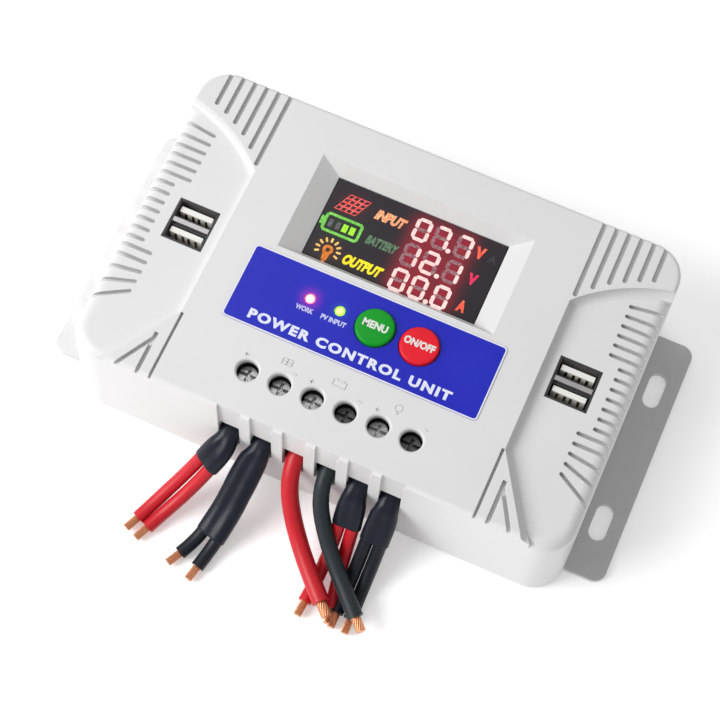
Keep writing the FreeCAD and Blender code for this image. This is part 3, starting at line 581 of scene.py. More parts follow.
@dataclass(frozen=True)
class PlainFloor:
    """Pale seamless surface under the controller."""

    name: str = "pale_surface"
    colour: Colour = (0.93, 0.93, 0.93)
    glow: float = 0.28

    def make(self) -> bpy.types.Material:
        """Build the material."""
        graph = Graph(self.name)
        cloud = graph.noise(60 * MM, 3.0)
        return graph.surface({
            "Base Color": self.colour, "Roughness": (0.86 + cloud * 0.1).capped(),
            "Specular IOR Level": 0.1, "Emission Color": (1.0, 1.0, 1.0),
            "Emission Strength": self.glow})


Finish = Union[Moulding, Metal, CoverShell, PrintedFilm, ScreenFilm, Ink, LampGlow,
               CircuitLaminate, WireJacket, PlainFloor]


@lru_cache(maxsize=None)
def material_of(finish: Finish) -> bpy.types.Material:
    """Give a finish's material, made once."""
    return finish.make()


BLACK_MOULDING = Moulding("black_moulding", (0.035, 0.035, 0.037), (0.022, 0.022, 0.024),
                          0.45, edge_highlight_strength=0.3)
WHITE_MOULDING = Moulding("white_moulding", (0.82, 0.82, 0.79), (0.74, 0.74, 0.71), 0.42)
GREEN_CAP = Moulding("green_cap", (0.005, 0.34, 0.024), (0.002, 0.26, 0.013), 0.4,
                     edge_highlight_strength=0.08, edge=0.2 * MM, gloss=0.22)
RED_CAP = Moulding("red_cap", (0.80, 0.014, 0.030), (0.68, 0.008, 0.020), 0.4,
                   edge_highlight_strength=0.08, edge=0.2 * MM, gloss=0.22)
PLATE_METAL = Metal("blasted_sheet", (0.60, 0.597, 0.595), (0.53, 0.528, 0.526), 0.34,
                    0.35 * MM, 0.012 * MM, metallic=0.85, edge=0.3 * MM)
ZINC = Metal("zinc_plate", (0.66, 0.66, 0.64), (0.48, 0.48, 0.47), 0.30, 0.25 * MM,
             0.01 * MM, (6.0, 1.0, 1.0))
# Terminal screws: the dark tone is partly painted shade for the deep holes they sit in.
TERMINAL_STEEL = Metal("terminal_steel", (0.60, 0.60, 0.59), (0.16, 0.16, 0.165), 0.26,
                       0.6 * MM, 0.05 * MM)
# Nearly black screw finish: painted shade for the deeper holes of screws 4 and 6.
SHADED_STEEL = Metal("dull_steel", (0.17, 0.17, 0.17), (0.06, 0.06, 0.065), 0.45,
                   0.6 * MM, 0.03 * MM)
NICKEL = Metal("nickel_shell", (0.56, 0.54, 0.54), (0.45, 0.435, 0.435), 0.45, 0.12 * MM,
               0.004 * MM, (1.0, 1.0, 14.0))
GOLD = Metal("gilt_contact", (0.83, 0.62, 0.26), (0.74, 0.52, 0.20), 0.24, 0.1 * MM, 0.003 * MM)
BRASS = Metal("turned_brass", (0.72, 0.55, 0.25), (0.60, 0.43, 0.18), 0.3, 0.2 * MM,
              0.006 * MM, (5.0, 5.0, 1.0))
COPPER = Metal("bare_copper", (0.85, 0.42, 0.24), (0.62, 0.27, 0.14), 0.3, 0.12 * MM,
               0.006 * MM, (1.0, 5.0, 1.0))
ALUMINIUM = Metal("milled_aluminium", (0.70, 0.70, 0.71), (0.58, 0.58, 0.59), 0.36,
                  0.2 * MM, 0.006 * MM, (10.0, 1.0, 1.0))
PAD_RUBBER = Moulding("pad_rubber", (0.42, 0.50, 0.60), (0.34, 0.41, 0.50), 0.7)
CAN_SLEEVE = Moulding("can_sleeve", (0.020, 0.030, 0.14), (0.012, 0.018, 0.09), 0.3, coat=0.3)
FERRITE = Moulding("coated_ferrite", (0.07, 0.09, 0.08), (0.04, 0.05, 0.05), 0.5,
                   0.3 * MM, 0.03 * MM)
LAMINATE = CircuitLaminate()
RED_JACKET = WireJacket("red_jacket", (0.64, 0.010, 0.022), (0.44, 0.005, 0.013))
BLACK_JACKET = WireJacket("black_jacket", (0.012, 0.014, 0.022), (0.006, 0.007, 0.012),
                          gloss=0.28)
GREY_JACKET = WireJacket("grey_jacket", (0.022, 0.030, 0.036), (0.012, 0.018, 0.022), 0.45,
                         gloss=0.3)
SHRINK = WireJacket("shrunk_tube", (0.010, 0.013, 0.024), (0.004, 0.006, 0.012), 0.36,
                    0.16 * MM, 0.28)
WHITE_INK = Ink("white_print", (0.78, 0.80, 0.92), (0.66, 0.68, 0.86))
CAPTION_INK = Ink("caption_print", (0.62, 0.64, 0.90), (0.48, 0.50, 0.82))
BORDER_INK = Ink("border_print", (0.82, 0.82, 0.84), (0.76, 0.76, 0.80))
CAP_INK = Ink("cap_print", (0.82, 0.84, 0.80), (0.66, 0.68, 0.64))
DIGIT_LIGHT = Ink("digit_light", (1.0, 0.80, 0.76), (1.0, 0.60, 0.57), 0.97, 1.1 * MM)
DIGIT_DARK = Ink("digit_dark", (0.42, 0.24, 0.26), (0.24, 0.09, 0.11), 0.9, 0.8 * MM)
PANEL_LIGHT = Ink("panel_light", (1.0, 0.20, 0.17), (0.85, 0.055, 0.060), 1.0)
INPUT_LIGHT = Ink("input_light", (1.0, 0.60, 0.30), (1.0, 0.25, 0.13), 0.95)
BATTERY_LIGHT = Ink("battery_light", (0.30, 0.80, 0.16), (0.13, 0.50, 0.06), 0.9)
BAR_LIGHT = Ink("bar_light", (0.50, 0.95, 0.08), (0.32, 0.80, 0.03), 1.0)
BAR_DARK = Ink("bar_dark", (0.20, 0.19, 0.22), (0.11, 0.10, 0.12), 0.8)
WORD_DARK = Ink("word_dark", (0.17, 0.29, 0.17), (0.085, 0.15, 0.09), 0.9)
OUTPUT_LIGHT = Ink("output_light", (1.0, 0.90, 0.04), (0.95, 0.68, 0.015), 1.0)
RAY_LIGHT = Ink("ray_light", (1.0, 0.72, 0.26), (0.95, 0.50, 0.12), 0.95)
BULB_LIGHT = Ink("bulb_light", (0.90, 0.30, 0.055), (0.60, 0.15, 0.025), 0.9)
VOLT_LIGHT = Ink("volt_light", (1.0, 0.20, 0.11), (0.90, 0.07, 0.05), 1.0)
ROSE_LIGHT = Ink("rose_light", (0.90, 0.055, 0.16), (0.70, 0.02, 0.09), 1.0)
UNIT_DARK = Ink("unit_dark", (0.070, 0.062, 0.070), (0.050, 0.042, 0.050), 0.8)


# ---------------------------------------------------------------- modelling by hand

def clear_selection() -> None:
    """Deselect every object."""
    bpy.ops.object.select_all(action="DESELECT")


def hold(piece: bpy.types.Object) -> None:
    """Make one object the only selected and active one."""
    clear_selection()
    piece.select_set(True)
    bpy.context.view_layer.objects.active = piece


@contextmanager
def shaping(piece: bpy.types.Object) -> Iterator[None]:
    """Edit one object's mesh."""
    hold(piece)
    bpy.ops.object.mode_set(mode="EDIT")
    yield
    bpy.ops.object.mode_set(mode="OBJECT")


def pick(piece: bpy.types.Object, wanted: Callable[[Vector, Vector], bool]) -> None:
    """Select faces in edit mode.

    Args:
        piece: the object that is being edited.
        wanted: tells from a face's middle and normal whether it is wanted.
    """
    bpy.ops.mesh.select_mode(type="FACE")
    bpy.ops.mesh.select_all(action="DESELECT")
    mesh = bmesh.from_edit_mesh(piece.data)
    for face in mesh.faces:
        face.select_set(bool(wanted(face.calc_center_median(), face.normal)))
    bmesh.update_edit_mesh(piece.data)


def pick_edges(piece: bpy.types.Object, wanted: Callable[[Vector, Vector], bool]) -> None:
    """Select edges in edit mode.

    Args:
        piece: the object that is being edited.
        wanted: tells from an edge's two ends whether it is wanted.
    """
    bpy.ops.mesh.select_mode(type="EDGE")
    bpy.ops.mesh.select_all(action="DESELECT")
    mesh = bmesh.from_edit_mesh(piece.data)
    for edge in mesh.edges:
        edge.select_set(bool(wanted(edge.verts[0].co, edge.verts[1].co)))
    bmesh.update_edit_mesh(piece.data)


def shift_points(piece: bpy.types.Object, moved: Callable[[Vector], Vector]) -> None:
    """Move every point of a mesh to where a function says."""
    for vertex in piece.data.vertices:
        vertex.co = moved(vertex.co)


def settle(piece: bpy.types.Object) -> bpy.types.Object:
    """Put a piece's place, turn and size into its mesh.

    Args:
        piece: the object.

    Returns:
        The same object.
    """
    hold(piece)
    bpy.ops.object.transform_apply(location=True, rotation=True, scale=True)
    return piece


def apply_modifier(piece: bpy.types.Object, kind: str, **settings: object) -> None:
    """Add one modifier and apply it.

    Args:
        piece: the object.
        kind: the modifier's type.
        settings: the modifier's properties.
    """
    hold(piece)
    modifier = piece.modifiers.new("shape", kind)
    for name, value in settings.items():
        setattr(modifier, name, value)
    bpy.ops.object.modifier_apply(modifier=modifier.name)


def joined(pieces: Sequence[bpy.types.Object]) -> bpy.types.Object:
    """Join pieces into the first one.

    Args:
        pieces: the objects.

    Returns:
        The first object, with the meshes of all.
    """
    hold(pieces[0])
    for piece in pieces:
        piece.select_set(True)
    bpy.ops.object.join()
    return pieces[0]


def copy_of(piece: bpy.types.Object, place: Matrix) -> bpy.types.Object:
    """Copy a piece with its own mesh and move the copy's mesh.

    Args:
        piece: the pattern.
        place: where the copy goes, from the pattern's own place.

    Returns:
        The copy.
    """
    twin = piece.copy()
    twin.data = piece.data.copy()
    twin.data.transform(place)
    bpy.context.scene.collection.objects.link(twin)
    return twin


def discard(piece: bpy.types.Object) -> None:
    """Remove a pattern piece that only served for copies."""
    bpy.data.objects.remove(piece, do_unlink=True)


def deliver(piece: bpy.types.Object, name: str, body: str, finish: Finish,
            smooth: float = 35.0) -> bpy.types.Object:
    """Name, smooth, dress and mount a finished piece.

    Args:
        piece: the object, with its place in its mesh.
        name: the piece's name.
        body: the CAD body that carries it.
        finish: its finish.
        smooth: edges sharper than this, in degrees, stay sharp.

    Returns:
        The same object.
    """
    piece.name = name
    piece.data.name = name
    hold(piece)
    bpy.ops.object.shade_smooth_by_angle(angle=math.radians(smooth))
    piece.data.materials.clear()
    piece.data.materials.append(material_of(finish))
    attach(piece, body)
    LOG.info("built %s: %d faces on %s", name, len(piece.data.polygons), body)
    return piece


def face_outwards() -> None:
    """Turn every face of the mesh being edited outwards."""
    bpy.ops.mesh.select_all(action="SELECT")
    bpy.ops.mesh.normals_make_consistent(inside=False)


def thicken(thick: float) -> None:
    """Raise the whole outline being edited into a slab."""
    bpy.ops.mesh.select_all(action="SELECT")
    bpy.ops.mesh.extrude_region_move(TRANSFORM_OT_translate={"value": (0, 0, thick)})
    face_outwards()


def rectangle(wide: float, high: float, middle: Point) -> bpy.types.Object:
    """Flat rectangle.

    Args:
        wide: its size across X.
        high: its size along Y.
        middle: its middle.

    Returns:
        The rectangle, with its place in its mesh.
    """
    bpy.ops.mesh.primitive_plane_add(size=1.0, location=middle)
    bpy.context.object.scale = (wide, high, 1.0)
    return settle(bpy.context.object)


def flat_bar(wide: float, high: float, middle: Point, point: float = 0.0,
             thick: float = LINE_THICK) -> bpy.types.Object:
    """Thin raised bar whose short ends may narrow to a point.

    Args:
        wide: its length across X.
        high: its width.
        middle: the middle of its underside.
        point: how far each pointed end reaches beyond wide.
        thick: how far it stands up.

    Returns:
        The bar, with its place in its mesh.
    """
    bar = rectangle(wide, high, middle)
    with shaping(bar):
        if point > 0.0:
            for side in (-1.0, 1.0):
                edge_x = middle[0] + side * wide / 2
                pick_edges(bar, lambda a, b: abs(a.x - edge_x) < 1e-7 > abs(b.x - edge_x))
                bpy.ops.mesh.extrude_edges_move(
                    TRANSFORM_OT_translate={"value": (side * point, 0.0, 0.0)})
                bpy.ops.transform.resize(value=(1.0, 0.3, 1.0), center_override=(
                    edge_x + side * point, middle[1], middle[2]))
        thicken(thick)
    return bar


def frame_strip(wide: float, high: float, middle: Point, width: float, corner: float,
                thick: float = LINE_THICK, steps: int = 6) -> bpy.types.Object:
    """Thin raised rectangular outline with rounded or cut corners.

    Args:
        wide: outer size across X.
        high: outer size along Y.
        middle: the middle of its underside.
        width: how wide the line is.
        corner: the outer corners' radius.
        thick: how far it stands up.
        steps: faces around each corner.

    Returns:
        The outline, with its place in its mesh.
    """
    strip = rectangle(wide, high, middle)
    with shaping(strip):
        bpy.ops.mesh.select_all(action="SELECT")
        bpy.ops.mesh.bevel(offset=corner, segments=steps, affect="VERTICES")
        bpy.ops.mesh.select_all(action="SELECT")
        bpy.ops.mesh.inset(thickness=width, depth=0.0)
        bpy.ops.mesh.delete(type="FACE")
        thicken(thick)
    return strip


def disc(radius: float, middle: Point, hollow: float = 0.0, thick: float = LINE_THICK,
         around: int = 32) -> bpy.types.Object:
    """Thin raised disc, or a ring where a hollow radius is given.

    Args:
        radius: outer radius.
        middle: the middle of its underside.
        hollow: inner radius, or 0 for a full disc.
        thick: how far it stands up.
        around: points around it.

    Returns:
        The disc, with its place in its mesh.
    """
    bpy.ops.mesh.primitive_circle_add(vertices=around, radius=radius, location=middle,
                                      fill_type="NGON")
    plate = settle(bpy.context.object)
    with shaping(plate):
        bpy.ops.mesh.select_all(action="SELECT")
        if hollow > 0.0:
            bpy.ops.mesh.inset(thickness=radius - hollow, depth=0.0)
            bpy.ops.mesh.delete(type="FACE")
        thicken(thick)
    return plate


def lettering(words: str, wide: float, high: float, middle: Point, slant: float = 0.0,
              weight: float = 0.02, spacing: float = 1.0,
              thick: float = LINE_THICK) -> bpy.types.Object:
    """Thin raised words that fill a box.

    Args:
        words: the generic words.
        wide: their whole width.
        high: their height.
        middle: the middle of their underside.
        slant: how far the letters lean.
        weight: how much bolder they are than the plain font.
        spacing: room between letters, 1 for the font's own.
        thick: how far they stand up.

    Returns:
        The words as a mesh with its place in it.
    """
    clear_selection()
    bpy.ops.object.text_add(location=(0.0, 0.0, 0.0))
    text = bpy.context.object
    text.data.body = words
    text.data.resolution_u = 3
    text.data.shear = slant
    text.data.offset = weight
    text.data.space_character = spacing
    text.data.extrude = 0.05
    hold(text)
    bpy.ops.object.convert(target="MESH")
    text = bpy.context.object
    corners = [vertex.co for vertex in text.data.vertices]
    low = Vector([min(c[i] for c in corners) for i in range(3)])
    top = Vector([max(c[i] for c in corners) for i in range(3)])
    span = top - low
    size = Vector((wide / span.x, high / span.y, thick / span.z))
    centre = (low + top) / 2
    target = Vector(middle) + Vector((0.0, 0.0, thick / 2))
    shift_points(text, lambda co: Vector(
        (co[i] - centre[i]) * size[i] + target[i] for i in range(3)))
    with shaping(text):
        bpy.ops.mesh.select_all(action="SELECT")
        bpy.ops.mesh.remove_doubles(threshold=2e-6)
    return text


# ---------------------------------------------------------------- studio

@dataclass
class Studio:
    """Camera, soft lights, white room and a pale surface."""

    lens: float = 86.835
    place: Point = (0.06866, -0.20682, 0.54080)
    right: Point = (0.91417831, 0.40427295, 0.02900697)
    down: Point = (0.38590176, -0.84628416, -0.36726416)
    forward: Point = (-0.12392682, 0.34693877, -0.92966426)
    sensor: float = 36.0
    nearest: float = 0.02
    farthest: float = 20.0
    floor_size: float = 8.0
    floor_drop: float = 0.05 * MM
    room_light: float = 0.47

    def build(self) -> None:
        """Set everything up that isn't part of the object."""
        self.add_camera()
        self.add_floor()
        self.add_room()
        self.add_softbox("key_light", (-0.90, -0.58, 0.89), size=0.8, power=16.8)
        self.add_softbox("rear_light", (-0.47, 0.42, 1.10), size=0.42, power=1.7)

    def add_camera(self) -> None:
        """Create the camera from its three directions."""
        camera = bpy.data.objects.new("camera", bpy.data.cameras.new("camera"))
        bpy.context.scene.collection.objects.link(camera)
        camera.data.lens = self.lens
        camera.data.sensor_width = self.sensor
        camera.data.clip_start, camera.data.clip_end = self.nearest, self.farthest
        turned = Matrix((self.right, [-v for v in self.down], [-v for v in self.forward]))
        camera.matrix_world = Matrix.Translation(self.place) @ turned.transposed().to_4x4()
        bpy.context.scene.camera = camera

    def add_floor(self) -> None:
        """Lay the pale surface just under the plate and the leads."""
        clear_selection()
        bpy.ops.mesh.primitive_plane_add(size=1.0, location=(0.0, 0.0, -self.floor_drop))
        floor = bpy.context.object
        floor.name = "floor"
        floor.scale = (self.floor_size, self.floor_size, 1.0)
        floor.data.materials.append(material_of(PlainFloor()))

    def add_room(self) -> None:
        """Fill the room with even white light."""
        world = bpy.data.worlds.new("room")
        world.use_nodes = True
        sky = world.node_tree.nodes["Background"]
        sky.inputs["Color"].default_value = (1.0, 1.0, 1.0, 1.0)
        sky.inputs["Strength"].default_value = self.room_light
        bpy.context.scene.world = world
        bpy.context.scene.view_settings.view_transform = "Standard"

    def add_softbox(self, name: str, place: Point, size: float, power: float) -> None:
        """Hang one square light that faces the controller.

        Args:
            name: the light's name.
            place: where it hangs.
            size: the length of its sides.
            power: its power in watts.
        """
        lamp = bpy.data.objects.new(name, bpy.data.lights.new(name, "AREA"))
        lamp.data.size = size
        lamp.data.energy = power
        lamp.location = place
        lamp.rotation_euler = (-Vector(place)).to_track_quat("-Z", "Y").to_euler()
        bpy.context.scene.collection.objects.link(lamp)


# ---------------------------------------------------------------- leads

@dataclass(frozen=True)
class Lead:
    """One lead: its route, size and colour."""

    name: str
    length: float
    diameter: float
    jacket: WireJacket
    slot: str
    exit: Point
    route: tuple[Point, ...]
    sleeve: str = ""


@dataclass(frozen=True)
class Section:
    """One oval section of a shrunk sleeve."""

    middle: Point
    heading: Point
    wide: float
    thick: float


def mouth(pole: int) -> Point:
    """Where a lead leaves the housing at one terminal, poles 0 to 5."""
    return ((pole - 2.5) * POLE_PITCH * MM, -55.0 * MM, 25.0 * MM)


PAIR = 4.4 * MM
LEADS = (
    Lead("panel_lead_red_a", 0.0385, PAIR, RED_JACKET, "insulation_red", mouth(0), (
        (-0.0306, -0.0574, 0.0224), (-0.0336, -0.0626, 0.0164), (-0.0372, -0.0682, 0.0104),
        (-0.0409, -0.0744, 0.0058), (-0.0438, -0.08, 0.0031), (-0.046, -0.0852, 0.0024)),
        "panel_sleeve_red"),
    Lead("panel_lead_red_b", 0.0371, PAIR, RED_JACKET, "insulation_red", mouth(0), (
        (-0.027, -0.0603, 0.0218), (-0.0297, -0.0652, 0.0158), (-0.0332, -0.071, 0.0098),
        (-0.0368, -0.077, 0.0054), (-0.0398, -0.0822, 0.0029), (-0.0418, -0.0869, 0.0024))),
    Lead("panel_lead_black_a", 0.0402, PAIR, BLACK_JACKET, "insulation_black", mouth(1), (
        (-0.0198, -0.0572, 0.0219), (-0.0209, -0.0648, 0.0162), (-0.0222, -0.0726, 0.0102),
        (-0.0241, -0.0796, 0.0054), (-0.0262, -0.0854, 0.0029), (-0.0286, -0.0902, 0.0024)),
        "panel_sleeve_black"),
    Lead("panel_lead_black_b", 0.0406, PAIR, BLACK_JACKET, "insulation_black", mouth(1), (
        (-0.0153, -0.0578, 0.0217), (-0.0164, -0.0654, 0.0158), (-0.0176, -0.0732, 0.0098),
        (-0.019, -0.0804, 0.0051), (-0.0204, -0.0866, 0.0028), (-0.0216, -0.092, 0.0024))),
    Lead("battery_lead_red", 0.0544, 5.7 * MM, RED_JACKET, "insulation_red", mouth(2), (
        (-0.0055, -0.0466, 0.0264), (-0.0054, -0.0544, 0.0242), (-0.0036, -0.0612, 0.0192),
        (0.0003, -0.0672, 0.0138), (0.0057, -0.0736, 0.0098), (0.0124, -0.0806, 0.008),
        (0.0194, -0.0874, 0.0077))),
    Lead("battery_lead_grey", 0.0546, 5.3 * MM, GREY_JACKET, "insulation_grey", mouth(3), (
        (0.0055, -0.0466, 0.0264), (0.0055, -0.0544, 0.0242), (0.0069, -0.0608, 0.0194),
        (0.0106, -0.0664, 0.0152), (0.0164, -0.073, 0.011), (0.0236, -0.08, 0.0085),
        (0.0312, -0.0874, 0.0076))),
    Lead("load_lead_red_a", 0.0378, PAIR, RED_JACKET, "insulation_red", mouth(4), (
        (0.0145, -0.0576, 0.0214), (0.0149, -0.0636, 0.0144), (0.015, -0.0696, 0.008),
        (0.0149, -0.076, 0.004), (0.0146, -0.0822, 0.0025), (0.0141, -0.0882, 0.0024)),
        "load_sleeve_red"),
    Lead("load_lead_red_b", 0.0368, PAIR, RED_JACKET, "insulation_red", mouth(4), (
        (0.019, -0.0576, 0.0212), (0.0194, -0.0636, 0.014), (0.0198, -0.0694, 0.0076),
        (0.0205, -0.0754, 0.0037), (0.0216, -0.0812, 0.0024), (0.0226, -0.0868, 0.00235))),
    Lead("load_lead_black_a", 0.0370, PAIR, BLACK_JACKET, "insulation_black", mouth(5), (
        (0.0249, -0.0574, 0.0214), (0.0249, -0.0638, 0.0146), (0.0248, -0.0698, 0.0084),
        (0.0247, -0.0758, 0.0042), (0.0247, -0.0816, 0.0025), (0.0248, -0.0874, 0.0024)),
        "load_sleeve_black"),
    Lead("load_lead_black_b", 0.0371, PAIR, BLACK_JACKET, "insulation_black", mouth(5), (
        (0.0294, -0.0574, 0.0212), (0.0294, -0.0638, 0.0142), (0.0293, -0.0698, 0.008),
        (0.0292, -0.0758, 0.0039), (0.0293, -0.0816, 0.0024), (0.0295, -0.0874, 0.00235))),
)
SLEEVES = {
    "panel_sleeve_red": (
        Section((-0.0273, -0.047, 0.0257), (0.0, -1.0, -0.05), 0.0062, 0.0055),
        Section((-0.0273, -0.0544, 0.0246), (-0.1, -1.0, -0.35), 0.0071, 0.006),
        Section((-0.0286, -0.0589, 0.022), (-0.4, -1.0, -0.9), 0.0092, 0.0058),
        Section((-0.0314, -0.0634, 0.0166), (-0.6, -1.0, -1.0), 0.0098, 0.0055)),
    "panel_sleeve_black": (
        Section((-0.0164, -0.047, 0.0257), (0.0, -1.0, -0.05), 0.0062, 0.0055),
        Section((-0.0165, -0.0544, 0.0242), (-0.05, -1.0, -0.5), 0.0071, 0.006),
        Section((-0.0176, -0.059, 0.0209), (-0.15, -1.0, -0.74), 0.0094, 0.0056),
        Section((-0.0187, -0.0654, 0.0158), (-0.17, -1.0, -0.78), 0.0098, 0.0054),
        Section((-0.0199, -0.073, 0.0101), (-0.2, -1.0, -0.72), 0.0099, 0.0053),
        Section((-0.0219, -0.0818, 0.005), (-0.26, -1.0, -0.5), 0.0102, 0.0052)),
    "load_sleeve_red": (
        Section((0.0164, -0.047, 0.0257), (0.0, -1.0, -0.05), 0.0062, 0.0055),
        Section((0.0165, -0.0544, 0.0242), (0.0, -1.0, -0.6), 0.0071, 0.006),
        Section((0.0168, -0.0586, 0.0202), (0.0, -1.0, -1.1), 0.009, 0.0056),
        Section((0.0172, -0.0632, 0.0146), (0.05, -1.0, -1.15), 0.0094, 0.0054)),
    "load_sleeve_black": (
        Section((0.0273, -0.047, 0.0257), (0.0, -1.0, -0.05), 0.0062, 0.0055),
        Section((0.0273, -0.0544, 0.0242), (0.0, -1.0, -0.6), 0.0071, 0.006),
        Section((0.0273, -0.0586, 0.0202), (0.0, -1.0, -1.1), 0.009, 0.0056),
        Section((0.0272, -0.0644, 0.0138), (0.0, -1.0, -1.05), 0.0094, 0.0054)),
}


@dataclass
class Wiring:
    """Ten short leads, their stripped ends and four shrunk sleeves."""

    leads: tuple[Lead, ...] = LEADS
    sleeves: dict[str, tuple[Section, ...]] = field(default_factory=lambda: dict(SLEEVES))
    around: int = 40
    between: int = 6
    wall: float = 0.45 * MM
    swell: float = 0.035
    waist: float = 0.2
    pinch_wide: float = 0.32
    fullness: float = 0.82
    dents_per_metre: float = 260.0
    dent: float = 0.10 * MM
    tip_length: float = 5.0 * MM
    tip_tucked: float = 0.4 * MM
    tip_share: float = 0.3
    strand: float = 0.2
    twist: float = 75.0

    def build(self) -> None:
        """Lay every lead with the pieces on it."""
        strands = self.strand_bundle()
        for lead in self.leads:
            curve = self.lay_curve(lead)
            pieces = [self.add_tip(lead, strands)]
            if lead.sleeve:
                pieces.append(self.add_sleeve(lead.sleeve))
            LOG.info("laid %s, %.0f mm", lead.name, lead.length / MM)
        discard(strands)

    def lay_curve(self, lead: Lead) -> bpy.types.Object:
        """Draw one lead as a smooth round curve.

        Args:
            lead: the lead.

        Returns:
            The curve, dressed and mounted.
        """
        line = bpy.data.curves.new(lead.name, "CURVE")
        line.dimensions = "3D"
        spline = line.splines.new("NURBS")
        spline.points.add(len(lead.route) - 1)
        for point, place in zip(spline.points, lead.route):
            point.co = (*place, 1.0)
        spline.order_u = 3
        spline.use_endpoint_u = True
        spline.resolution_u = 12
        line.bevel_depth = lead.diameter / 2
        line.bevel_resolution = 8
        line.use_fill_caps = True
        curve = bpy.data.objects.new(lead.name + "_jacket", line)
        bpy.context.scene.collection.objects.link(curve)
        line.materials.append(material_of(lead.jacket))
        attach(curve, "controller")
        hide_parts(lead.name)
        return curve

    def strand_bundle(self) -> bpy.types.Object:
        """Twist nineteen strands into a bundle of radius 1 and length 1 along Z."""
        places = [(0.0, 0.0)]
        for count, reach in ((6, 2 * self.strand), (12, 4 * self.strand)):
            places += [(reach * math.cos(2 * math.pi * i / count),
                        reach * math.sin(2 * math.pi * i / count)) for i in range(count)]
        strands = []
        for x, y in places:
            clear_selection()
            bpy.ops.mesh.primitive_cylinder_add(vertices=8, radius=self.strand, depth=1.0,
                                                location=(x, y, 0.5))
            strands.append(settle(bpy.context.object))
        bundle = joined(strands)
        with shaping(bundle):
            pick_edges(bundle, lambda a, b: abs(a.z - b.z) > 0.5)
            bpy.ops.mesh.subdivide(number_cuts=5)
        apply_modifier(bundle, "SIMPLE_DEFORM", deform_method="TWIST", deform_axis="Z",
                       angle=math.radians(self.twist))
        with shaping(bundle):
            face_outwards()
        return bundle

    def add_tip(self, lead: Lead, strands: bpy.types.Object) -> bpy.types.Object:
        """Place the stripped strands at a lead's far end.

        Args:
            lead: the lead.
            strands: the pattern bundle.

        Returns:
            The tip, dressed and mounted.
        """
        end, before = Vector(lead.route[-1]), Vector(lead.route[-2])
        heading = end - before
        heading.z = 0.0
        size = self.tip_share * lead.diameter
        turned = heading.to_track_quat("Z", "Y").to_matrix().to_4x4()
        start = end - heading.normalized() * self.tip_tucked
        grown = Matrix.Diagonal((size, size, self.tip_length + 0.3 * MM, 1.0))
        tip = copy_of(strands, Matrix.Translation(start) @ turned @ grown)
        deliver(tip, lead.name + "_strands", "controller", COPPER, 50.0)
        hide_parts("lead_tips")
        return tip

    def add_sleeve(self, name: str) -> bpy.types.Object:
        """Loft one shrunk sleeve through its sections.

        Args:
            name: the sleeve's CAD node.

        Returns:
            The sleeve, dressed and mounted.
        """
        rings = self.rings_of(self.sleeves[name])
        last = len(rings) - 1
        clear_selection()
        bpy.ops.mesh.primitive_cylinder_add(vertices=self.around, radius=1.0, depth=1.0,
                                            end_fill_type="NOTHING", location=(0, 0, 0.5))
        sleeve = settle(bpy.context.object)
        with shaping(sleeve):
            pick_edges(sleeve, lambda a, b: abs(a.z - b.z) > 0.5)
            bpy.ops.mesh.subdivide(number_cuts=last - 1)
        spots = self.around / (2 * math.pi)
        shift_points(sleeve, lambda co: rings[round(co.z * last)][
            round(math.atan2(co.y, co.x) * spots) % self.around])
        with shaping(sleeve):
            face_outwards()
        apply_modifier(sleeve, "SOLIDIFY", thickness=self.wall, offset=-1.0)
        apply_modifier(sleeve, "SUBSURF", levels=1, render_levels=1)
        deliver(sleeve, name + "_tube", "controller", SHRINK, 60.0)
        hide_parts(name)
        return sleeve

    def rings_of(self, sections: tuple[Section, ...]) -> list[list[Vector]]:
        """Work out the ovals along a sleeve, waisted between its two leads.

        Args:
            sections: the sleeve's main sections.

        Returns:
            Points of each ring, in order around it.
        """
        rings = []
        steps = (len(sections) - 1) * self.between
        for step in range(steps + 1):
            index = min(step // self.between, len(sections) - 2)
            share = step / self.between - index
            around = [sections[max(0, min(len(sections) - 1, index + k))] for k in (-1, 0, 1, 2)]
            middle = self.smooth([Vector(s.middle) for s in around], share)
            heading = self.smooth([Vector(s.heading) for s in around], share).normalized()
            wide = self.smooth([Vector((s.wide, s.thick, 0.0)) for s in around], share)
            wide *= 1.0 + self.swell * self.ramp(wide.x, 6.6 * MM, 2.0 * MM)
            level = Vector((0.0, 0.0, 1.0)).cross(heading).normalized()
            upright = heading.cross(level)
            waist = self.waist * self.ramp(wide.x, wide.y, 3.0 * MM)
            ring = []
            for spot in range(self.around):
                angle = 2 * math.pi * spot / self.around
                across, up = math.cos(angle), math.sin(angle)
                pinch = 1.0 - waist * math.exp(-(across / self.pinch_wide) ** 2)
                full = math.copysign(abs(up) ** self.fullness, up)
                place = (middle + level * across * wide.x / 2
                         + upright * full * pinch * wide.y / 2)
                dent = noise.noise(place * self.dents_per_metre) * self.dent
                ring.append(place + (place - middle).normalized() * dent)
            rings.append(ring)
        return rings

    @staticmethod
    def ramp(value: float, start: float, over: float) -> float:
        """Rise from 0 to 1 as a value grows past a start by a given amount."""
        return min(1.0, max(0.0, (value - start) / over))

    @staticmethod
    def smooth(four: Sequence[Vector], share: float) -> Vector:
        """Pass smoothly between the middle two of four values.

        Args:
            four: the values before, at the start, at the end and after.
            share: how far along, 0 to 1.

        Returns:
            The value there.
        """
        before, start, end, after = four
        return 0.5 * (2 * start + (end - before) * share
                      + (2 * before - 5 * start + 4 * end - after) * share ** 2
                      + (3 * start - before - 3 * end + after) * share ** 3)


# ---------------------------------------------------------------- housing and CAD nodes

